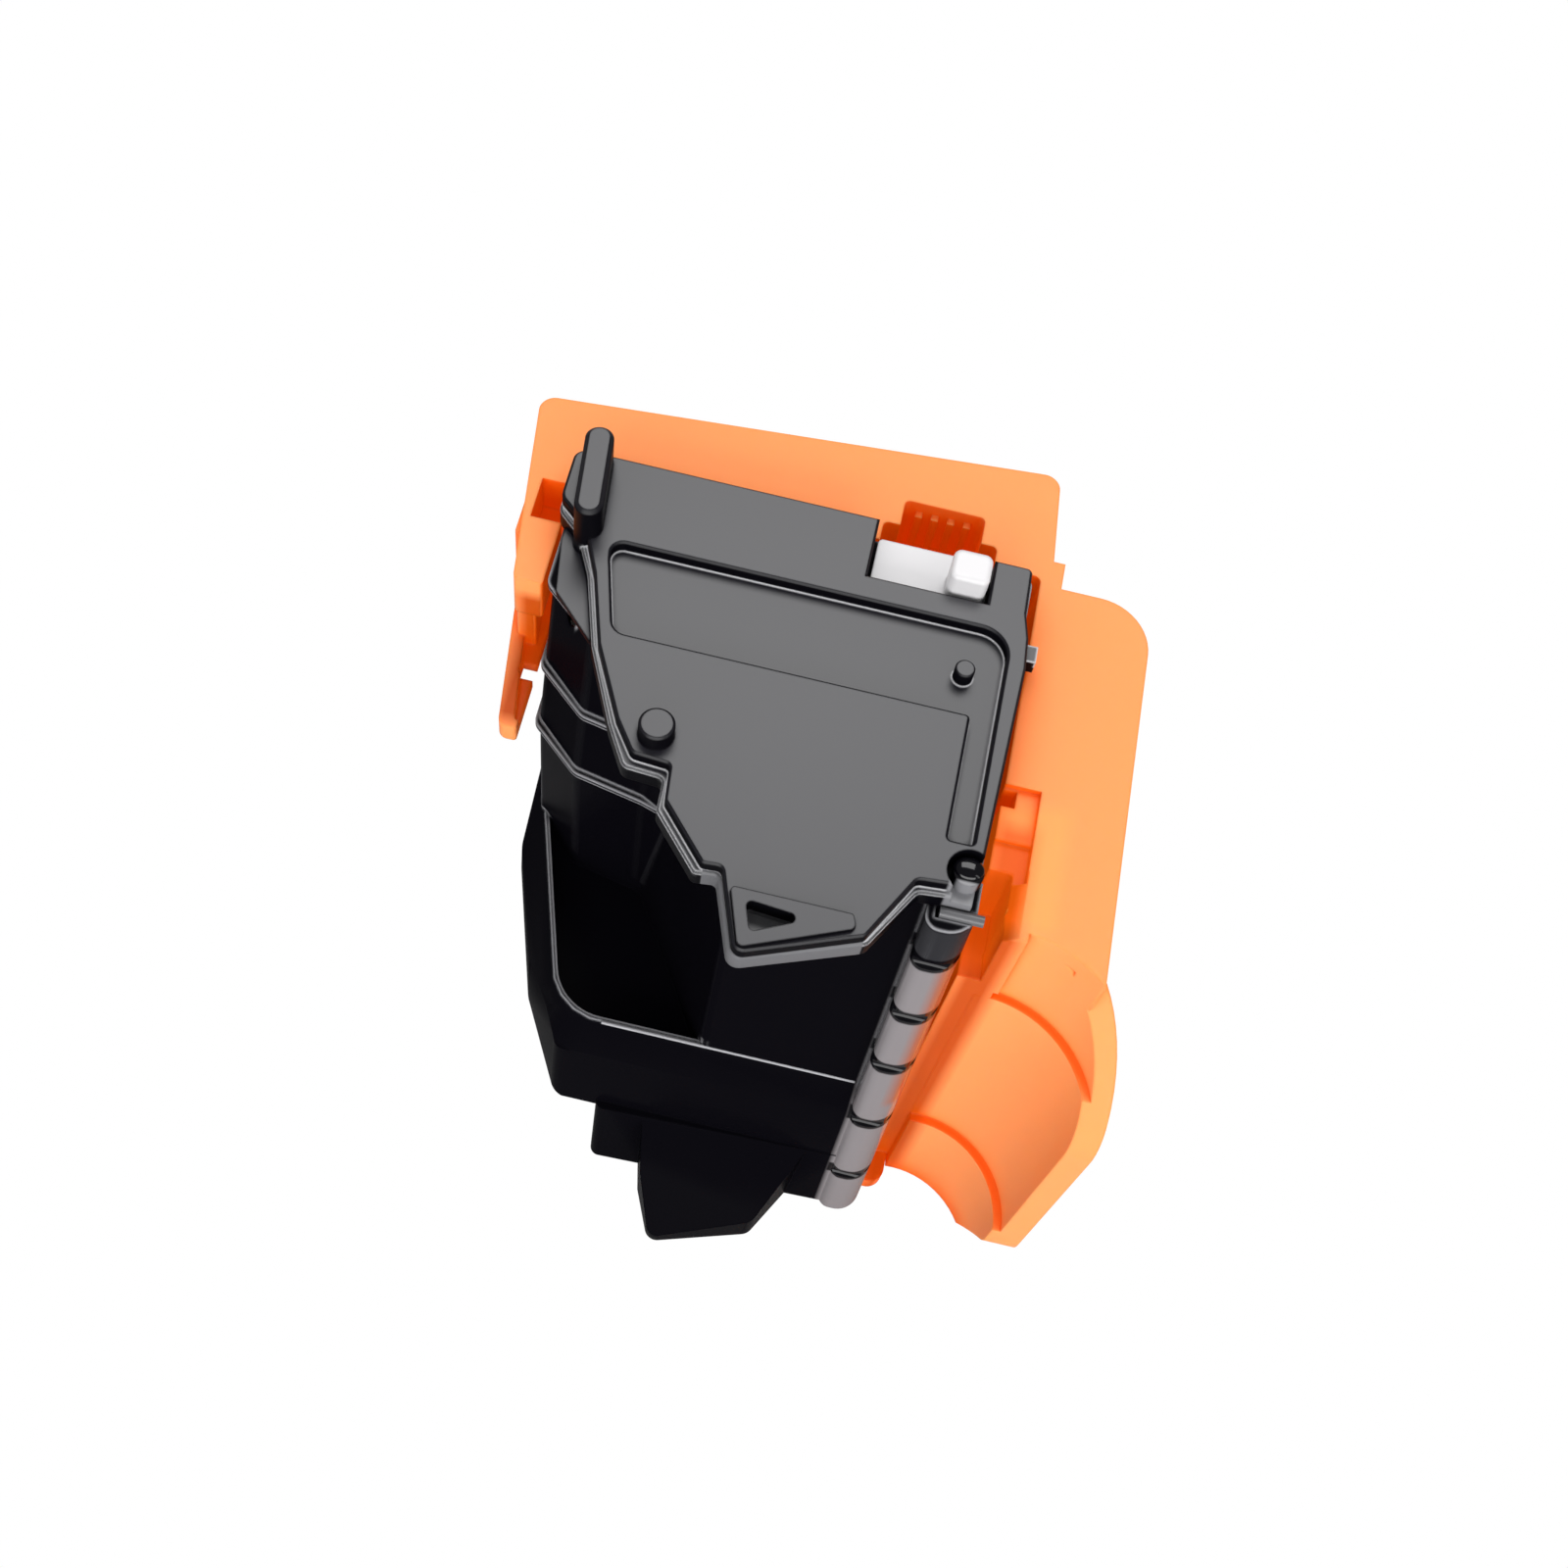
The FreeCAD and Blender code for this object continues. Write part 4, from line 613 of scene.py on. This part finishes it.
def soften(node, body, width, segments):
    """Stands a copy with real rounded edges in for a node, so its edges show on the mesh itself."""
    ready()
    piece = bpy.data.objects.new(SOFT_NAMES[node], NODES[node].data.copy())
    bpy.context.collection.objects.link(piece)
    piece.select_set(True)
    bpy.context.view_layer.objects.active = piece
    bpy.ops.object.mode_set(mode="EDIT")
    bpy.ops.mesh.select_all(action="SELECT")
    bpy.ops.mesh.remove_doubles(threshold=NEAR)
    bpy.ops.mesh.dissolve_limited(angle_limit=FLAT_TURN)
    bpy.ops.object.mode_set(mode="OBJECT")
    edge = piece.modifiers.new("Rounded edges", "BEVEL")
    edge.width = width
    edge.segments = segments
    edge.limit_method = "ANGLE"
    edge.angle_limit = ROUNDED_TURN
    edge.use_clamp_overlap = True
    edge.miter_outer = "MITER_ARC"
    bpy.ops.object.modifier_apply(modifier=edge.name)
    bpy.ops.object.shade_smooth_by_angle(angle=SMOOTH_TURN)
    weight = piece.modifiers.new("Flat faces stay flat", "WEIGHTED_NORMAL")
    weight.keep_sharp = True
    weight.weight = FLAT_WEIGHT
    bpy.ops.object.modifier_apply(modifier=weight.name)
    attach(piece, body)
    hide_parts(node)


def select_edges(piece, near):
    """Enters edit mode with the edges selected whose two ends pass a test of place."""
    bpy.ops.object.mode_set(mode="EDIT")
    bpy.ops.mesh.select_mode(type="EDGE")
    bpy.ops.mesh.select_all(action="DESELECT")
    bpy.ops.object.mode_set(mode="OBJECT")
    for edge in piece.data.edges:
        edge.select = all(near(piece.data.vertices[index].co) for index in edge.vertices)
    bpy.ops.object.mode_set(mode="EDIT")


def fix_order(piece):
    """Sorts a mesh's points and faces, because Blender orders those of its sphere anew in each run."""
    mesh = piece.data
    points = [tuple(vertex.co) for vertex in mesh.vertices]
    order = sorted(range(len(points)), key=lambda index: points[index])
    rank = {index: place for place, index in enumerate(order)}
    faces = []
    for face in mesh.polygons:
        corners = [rank[index] for index in face.vertices]
        # A quad turns by half a turn or not at all, so it splits along the same line as before
        turns = range(0, len(corners), 2 if len(corners) == 4 else 1)
        first = min(turns, key=lambda turn: corners[turn])
        faces.append(corners[first:] + corners[:first])
    mesh.clear_geometry()
    mesh.from_pydata([points[index] for index in order], [], sorted(faces))


def front_of(node, x, z):
    """Where a node's front face lies at a place across and up."""
    bpy.context.view_layer.update()
    hit, place, _, _ = stand_in(node).ray_cast(Vector((x, -1.0, z)), Vector((0.0, 1.0, 0.0)))
    return place.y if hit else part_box(node)[0][1]


# Finishes

def finish_housing(look, groups, low, high):
    """Near black, with painted highlights on the edges above the ledge, a corner post painted grey as a
    reflection, and painted shade in its grooves and in crevices.
    """
    inside = groups["inside"]
    black = moulded("Housing black", look.black, HOUSING_ROUGH, look.edge_round, look.grain * GLOSS_GRAIN,
                    groups["grain"], index=look.body_ior)

    def post_between(bottom, top, width=COLUMN_WIDTH, **values):
        """The part of the corner post between two heights."""
        return mask_of(black, inside, Low=(high[0] - width, low[1] - MM, bottom),
                       High=(high[0] + MM, COLUMN_BACK, top), **values)

    post = post_between(low[2] - MM, GROOVES[0])
    above = mask_of(black, inside, Low=(low[0] - MM, low[1] - MM, LEDGE_LINE),
                    High=(high[0] + MM, high[1] + MM, high[2] + MM))
    edge = mask_of(black, groups["edges"], Width=look.edge_round * HOUSING_EDGE, Gain=look.edge_gain)
    deep = mask_of(black, groups["crevice"], Reach=0.0016, Open=0.75, Closed=0.45)
    # Faint painted sheen on the post above its first groove
    tint(black, post_between(GROOVES[0], high[2]), look.post_head)
    # Painted reflection: the black corner post painted grey
    tint(black, post, look.post_reflection_grey)
    # Painted reflection of the orange cap on the post's side that faces it
    tint(black, post_between(POST_REFLECTION_FOOT, GROOVES[0], POST_REFLECTION_WIDTH, Soft=0.0012), look.post_cap_reflection)
    # Painted highlight on the housing's edges above the ledge
    tint(black, both(black, edge, above), look.edge_highlight_grey)
    # Painted shade: black bands across the painted grey at each groove
    for height in GROOVES:
        tint(black, post_between(height - GROOVE_HALF, height + GROOVE_HALF, Soft=0.00025), look.black)
    # Painted shade: crevices kept black, free of the painted highlights
    tint(black, deep, look.black)
    for box_low, box_high in QUIET_BOXES:
        tint(black, mask_of(black, inside, Low=box_low, High=box_high, Soft=0.0003), look.black)
    steer(black, "Coat Weight", post, 0.0, look.post_gloss)
    dress("housing", black)


def finish_lid(look, groups, low, high):
    """Satin grey on open flats; painted shade blackens walls, inner edges and the hook eye; painted highlight
    and painted light make the flange's edges, the tongue's frame and the hook step paler.
    """
    inside, edges, facing = groups["inside"], groups["edges"], groups["facing"]
    satin = moulded("Lid satin", look.lid_black, LID_ROUGH, look.edge_round, look.grain, groups["grain"],
                    index=LID_INDEX)
    shader = satin.node_tree.nodes["Principled BSDF"]
    shader.inputs["Coat Roughness"].default_value = LID_ROUGH
    shader.inputs["Coat IOR"].default_value = LID_COAT_INDEX
    flat = mask_of(satin, facing)
    unshut = mask_of(satin, groups["crevice"], Reach=0.0010, Open=0.40, Closed=0.72)
    rim = mask_of(satin, edges, Width=look.edge_round, Gain=look.edge_gain)
    outer = mask_of(satin, edges, Width=look.edge_round * FLANGE_EDGE, Gain=look.edge_gain)
    arch = mask_of(satin, inside, Low=ARCH_LOW, High=ARCH_HIGH, Soft=0.0002)
    flange = mask_of(satin, inside, Low=(low[0] - MM, low[1] - MM, FLANGE_TOP - MM),
                     High=(high[0] + MM, high[1] + MM, FLANGE_TOP), Soft=0.0001)
    # Painted shade: the lid's walls darker than its flats
    tint(satin, mask_of(satin, facing, Away=0.92, Along=0.55), look.black)
    # Painted shade along the lid's edges
    tint(satin, rim, look.black)
    # Painted highlight on the flange's outer edges
    tint(satin, both(satin, outer, flange), look.rim_highlight_grey)
    open_flat = outside(satin, both(satin, flat, unshut), arch)
    steer(satin, "Coat Weight", outside(satin, open_flat, rim), look.wall_sheen, 1.0)
    # Painted light on the frame round the tongue
    tint(satin, mask_of(satin, inside, Low=TONGUE_LOW, High=TONGUE_HIGH, Soft=0.00008), look.tongue_light_grey)
    # Painted shade in the hook eye
    tint(satin, arch, look.black)
    # Painted light on the hook step
    tint(satin, mask_of(satin, inside, Low=HOOK_LOW, High=HOOK_HIGH, Soft=0.0002), look.hook_light_grey)
    dress("lid", satin)


def finish_cap(look, groups):
    """Orange with painted shade in corners, hollows and walls near the housing, and a painted glow where its
    wall is thin and lit from behind.
    """
    inside, crevice = groups["inside"], groups["crevice"]
    orange = moulded("Cap orange", look.orange, CAP_ROUGH, look.edge_round * CAP_EDGE, look.grain * CAP_GRAIN,
                     groups["grain"], specular=CAP_SPECULAR, subsurface=CAP_SCATTER, index=CAP_INDEX)
    # Painted shade: fuller, darker orange in the cap's inner corners
    tint(orange, mask_of(orange, crevice, Reach=0.005, Open=0.88, Closed=0.45), look.crease_shade_orange)
    hollow = mask_of(orange, crevice, Reach=0.012, Open=0.62, Closed=0.22)
    # Painted shade in the cap's hollows
    tint(orange, hollow, look.hollow_shade_orange)
    # Painted glow in the hollows, as emission
    glow_in(orange, hollow, look.orange_glow)
    # Painted glow on the front of the wall beside the corner post
    front = mask_of(orange, groups["facing"], Direction=CAP_FRONT, Away=0.1, Along=0.4)
    lit = mask_of(orange, inside, Low=GLOW_LOW, High=GLOW_HIGH, Soft=0.0015)
    glow_in(orange, both(orange, front, lit), look.wall_glow)
    # Painted shade on the walls that stand close to the housing
    for box_low, box_high in RISER_BOXES:
        close = mask_of(orange, inside, Low=box_low, High=box_high, Soft=0.0014)
        tint(orange, both(orange, front, close), look.riser_shade_orange)
    dress("cap_shell", orange)


def finish_nozzles(look, stripes):
    """Rows of dark holes in the nickel plate."""
    plate = plain("Nickel", (0.66, 0.56, 0.36, 1.0), 0.25, metallic=1.0)
    across = mask_of(plate, stripes, Direction=(1.0, 0.0, 0.0),
                     Pitch=look.nozzle_pitch * NOZZLE_ROW_PITCHES, Share=0.12)
    down = mask_of(plate, stripes, Direction=(0.0, 1.0, 0.0), Pitch=look.nozzle_pitch, Share=0.4)
    tint(plate, both(plate, across, down), look.black)
    dress("orifice_plate", plate)


def finish_film(look, stripes):
    """Copper tracks under the amber contact film."""
    film = plain("Polyimide", (0.32, 0.10, 0.012, 1.0), 0.3)
    tracks = mask_of(film, stripes, Direction=(1.0, 0.0, 0.0), Pitch=look.track_pitch, Share=0.45)
    tint(film, tracks, look.track_copper)
    dress("flex_circuit", film)


# Operators

class PRINTHEAD_OT_soft_edges(bpy.types.Operator):
    """Stands softened copies in for the cap, the lid and the housing"""
    bl_idname = "printhead.soft_edges"
    bl_label = "Soft edges"

    def execute(self, context):
        shape = context.scene.printhead_finish
        soften("cap_shell", "cap", shape.cap_round, 3)
        soften("lid", "printhead", shape.lid_round, 2)
        soften("housing", "printhead", shape.housing_round, 2)
        return {"FINISHED"}


class PRINTHEAD_OT_ledge_line(bpy.types.Operator):
    """Carries the tray's rim on across the pier as a thin bead whose pale grey is a painted highlight"""
    bl_idname = "printhead.ledge_line"
    bl_label = "Ledge line"

    def execute(self, context):
        shape = context.scene.printhead_detail
        _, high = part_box("housing")
        left, right = shape.line_left, high[0] - COLUMN_WIDTH
        middle = (left + right) / 2
        ready()
        bpy.ops.mesh.primitive_cylinder_add(
            vertices=BEAD_SIDES, radius=shape.line_width / 2, depth=right - left,
            location=(middle, front_of("housing", middle, LEDGE_TOP), LEDGE_TOP),
            rotation=(0.0, math.pi / 2, 0.0), calc_uvs=False)
        bead = context.object
        bead.name = "ledge_line"
        bpy.ops.object.transform_apply(location=True, rotation=True, scale=True)
        select_edges(bead, lambda place: min(abs(place.x - left), abs(place.x - right)) < NEAR)
        bpy.ops.mesh.bevel(offset=shape.line_width * BEAD_END, segments=3)
        bpy.ops.object.mode_set(mode="OBJECT")
        bpy.ops.object.shade_smooth_by_angle(angle=TRIM_SMOOTH_TURN)
        # The bead's pale grey is a painted highlight along the rim
        bead.data.materials.append(plain("Ledge bead", context.scene.printhead_finish.edge_highlight_grey, 0.3))
        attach(bead, "printhead")
        return {"FINISHED"}


class PRINTHEAD_OT_hook_dome(bpy.types.Operator):
    """Sets the glossy black dome into the back of the lid's hook eye"""
    bl_idname = "printhead.hook_dome"
    bl_label = "Hook dome"

    def execute(self, context):
        shape = context.scene.printhead_detail
        foot = shape.dome_place[2] - shape.dome_radius * DOME_FOOT
        ready()
        bpy.ops.mesh.primitive_uv_sphere_add(segments=DOME_SEGMENTS, ring_count=DOME_RINGS,
                                             radius=shape.dome_radius, location=shape.dome_place,
                                             calc_uvs=False)
        dome = context.object
        dome.name = "hook_dome"
        dome.scale = DOME_SQUASH
        bpy.ops.object.transform_apply(location=True, rotation=True, scale=True)
        bpy.ops.object.mode_set(mode="EDIT")
        bpy.ops.mesh.select_all(action="SELECT")
        bpy.ops.mesh.bisect(plane_co=(0.0, 0.0, foot), plane_no=(0.0, 0.0, 1.0), use_fill=True,
                            clear_inner=True, threshold=NEAR)
        bpy.ops.object.mode_set(mode="OBJECT")
        select_edges(dome, lambda place: abs(place.z - foot) < NEAR)
        bpy.ops.mesh.bevel(offset=shape.dome_radius * DOME_FOOT_ROUND, segments=2)
        bpy.ops.object.mode_set(mode="OBJECT")
        fix_order(dome)
        bpy.ops.object.shade_smooth_by_angle(angle=TRIM_SMOOTH_TURN)
        dome.data.materials.append(plain("Hook gloss", context.scene.printhead_finish.black, 0.10))
        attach(dome, "printhead")
        return {"FINISHED"}


class PRINTHEAD_OT_finishes(bpy.types.Operator):
    """Gives every piece its finish"""
    bl_idname = "printhead.finishes"
    bl_label = "Finishes"

    def execute(self, context):
        look = context.scene.printhead_finish
        groups = {"grain": grain_group(), "edges": edge_group(), "inside": region_group(),
                  "crevice": crevice_group(), "facing": facing_group()}
        stripes = stripe_group()
        low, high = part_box("housing")
        finish_housing(look, groups, low, high)
        finish_lid(look, groups, low, high)
        finish_cap(look, groups)
        dress("inlet_fitting", moulded("Inlet white", look.white, INLET_ROUGH, look.edge_round,
                                       look.grain * GLOSS_GRAIN, groups["grain"]))
        for name, colour, roughness, metallic, nodes in PLAIN_FINISHES:
            material = plain(name, colour, roughness, metallic)
            for node in nodes:
                dress(node, material)
        finish_nozzles(look, stripes)
        finish_film(look, stripes)
        return {"FINISHED"}


class PRINTHEAD_OT_studio(bpy.types.Operator):
    """Adds the pale floor, the soft lights and the even fill"""
    bl_idname = "printhead.studio"
    bl_label = "Studio"

    def execute(self, context):
        studio = context.scene.printhead_studio
        bpy.ops.mesh.primitive_plane_add(size=studio.floor_size, location=(0.0, 0.0, 0.0))
        floor = context.object
        floor.name = "floor"
        floor.data.materials.append(self.floor_material())
        self.area("Key light", (0.0, 0.34, 0.62), 0.50, 0.38, studio.key_power)
        self.area("Front light", (0.05, -0.55, 0.26), 0.90, 0.36, studio.front_power)
        self.area("Strip light", (0.50, -0.25, 0.30), 0.10, 0.60, studio.strip_power)
        self.world(context, studio.fill)
        return {"FINISHED"}

    def area(self, name, place, width, height, power):
        """A soft rectangular light that looks at the part."""
        bpy.ops.object.light_add(type="AREA", location=place)
        lamp = bpy.context.object
        lamp.name = name
        lamp.data.shape = "RECTANGLE"
        lamp.data.size = width
        lamp.data.size_y = height
        lamp.data.energy = power
        aim = Vector(LIGHTS_AIM) - Vector(place)
        lamp.rotation_euler = aim.to_track_quat("-Z", "Y").to_euler()

    def floor_material(self):
        """White to the camera, dull in reflections, so the gloss pieces stay dark underneath."""
        material = bpy.data.materials.new("Floor")
        material.use_nodes = True
        tree = material.node_tree
        tree.nodes.remove(tree.nodes["Principled BSDF"])
        paths = add(tree, "ShaderNodeLightPath", -600, 300)
        white = add(tree, "ShaderNodeEmission", -300, 200, Color=WHITE, Strength=1.0)
        dull = add(tree, "ShaderNodeBsdfDiffuse", -300, 0, Color=FLOOR_DULL)
        pale = add(tree, "ShaderNodeBsdfDiffuse", -300, -200, Color=FLOOR_PALE)
        gloss = add(tree, "ShaderNodeMixShader", -100, 0)
        mix = add(tree, "ShaderNodeMixShader", 100, 100)
        link = tree.links.new
        link(paths.outputs["Is Glossy Ray"], gloss.inputs[0])
        link(pale.outputs[0], gloss.inputs[1])
        link(dull.outputs[0], gloss.inputs[2])
        link(paths.outputs["Is Camera Ray"], mix.inputs[0])
        link(gloss.outputs[0], mix.inputs[1])
        link(white.outputs[0], mix.inputs[2])
        link(mix.outputs[0], tree.nodes["Material Output"].inputs["Surface"])
        return material

    def world(self, context, fill):
        """Even fill, white to the camera and dim in reflections."""
        world = bpy.data.worlds.new("Studio")
        context.scene.world = world
        world.use_nodes = True
        tree = world.node_tree
        paths = add(tree, "ShaderNodeLightPath", -600, 300)
        even = tree.nodes["Background"]
        even.inputs["Color"].default_value = WHITE
        even.inputs["Strength"].default_value = fill
        dim = add(tree, "ShaderNodeBackground", -300, -150, Color=WHITE, Strength=WORLD_DIM)
        white = add(tree, "ShaderNodeBackground", -300, 150, Color=WHITE, Strength=1.0)
        gloss = add(tree, "ShaderNodeMixShader", -100, 0)
        mix = add(tree, "ShaderNodeMixShader", 100, 100)
        link = tree.links.new
        link(paths.outputs["Is Glossy Ray"], gloss.inputs[0])
        link(even.outputs[0], gloss.inputs[1])
        link(dim.outputs[0], gloss.inputs[2])
        link(paths.outputs["Is Camera Ray"], mix.inputs[0])
        link(gloss.outputs[0], mix.inputs[1])
        link(white.outputs[0], mix.inputs[2])
        link(mix.outputs[0], tree.nodes["World Output"].inputs["Surface"])


class PRINTHEAD_OT_camera(bpy.types.Operator):
    """Stands the camera where the photograph was taken from"""
    bl_idname = "printhead.camera"
    bl_label = "Camera"

    def execute(self, context):
        view = context.scene.printhead_camera
        bpy.ops.object.camera_add(location=view.place)
        camera = context.object
        camera.name = "Camera"
        camera.data.lens = view.focal_length
        camera.data.sensor_width = view.sensor
        camera.data.sensor_fit = "HORIZONTAL"
        camera.data.clip_start = 0.01
        camera.data.clip_end = 20.0
        right = Vector((1.0, 0.0, 0.0))
        up = Vector((0.0, math.cos(view.lean), math.sin(view.lean)))
        back = Vector((0.0, -math.sin(view.lean), math.cos(view.lean)))
        turned_right = right * math.cos(view.roll) + up * math.sin(view.roll)
        turned_up = up * math.cos(view.roll) - right * math.sin(view.roll)
        turn = Matrix((turned_right, turned_up, back)).transposed()
        camera.rotation_euler = turn.to_euler()
        context.scene.camera = camera
        return {"FINISHED"}


class PRINTHEAD_PT_panel(bpy.types.Panel):
    bl_label = "Printhead"
    bl_idname = "PRINTHEAD_PT_panel"
    bl_space_type = "VIEW_3D"
    bl_region_type = "UI"
    bl_category = "Printhead"

    def draw(self, context):
        layout = self.layout
        for operator in OPERATORS:
            layout.operator(operator.bl_idname)
        for name, _ in SETTINGS:
            group = getattr(context.scene, name)
            for key in group.__annotations__:
                layout.prop(group, key)


SETTINGS = (
    ("printhead_camera", PrintheadCamera),
    ("printhead_finish", PrintheadFinish),
    ("printhead_detail", PrintheadDetail),
    ("printhead_studio", PrintheadStudio),
)

OPERATORS = (
    PRINTHEAD_OT_soft_edges,
    PRINTHEAD_OT_ledge_line,
    PRINTHEAD_OT_hook_dome,
    PRINTHEAD_OT_finishes,
    PRINTHEAD_OT_studio,
    PRINTHEAD_OT_camera,
)


def register():
    for name, group in SETTINGS:
        bpy.utils.register_class(group)
        setattr(bpy.types.Scene, name, bpy.props.PointerProperty(type=group))
    for operator in OPERATORS:
        bpy.utils.register_class(operator)
    bpy.utils.register_class(PRINTHEAD_PT_panel)


def unregister():
    bpy.utils.unregister_class(PRINTHEAD_PT_panel)
    for operator in reversed(OPERATORS):
        bpy.utils.unregister_class(operator)
    for name, group in reversed(SETTINGS):
        delattr(bpy.types.Scene, name)
        bpy.utils.unregister_class(group)


def main():
    register()
    bpy.context.scene.view_settings.view_transform = "Standard"
    for operator in OPERATORS:
        ready()
        group, name = operator.bl_idname.split(".")
        getattr(getattr(bpy.ops, group), name)()


if __name__ == "__main__":
    main()
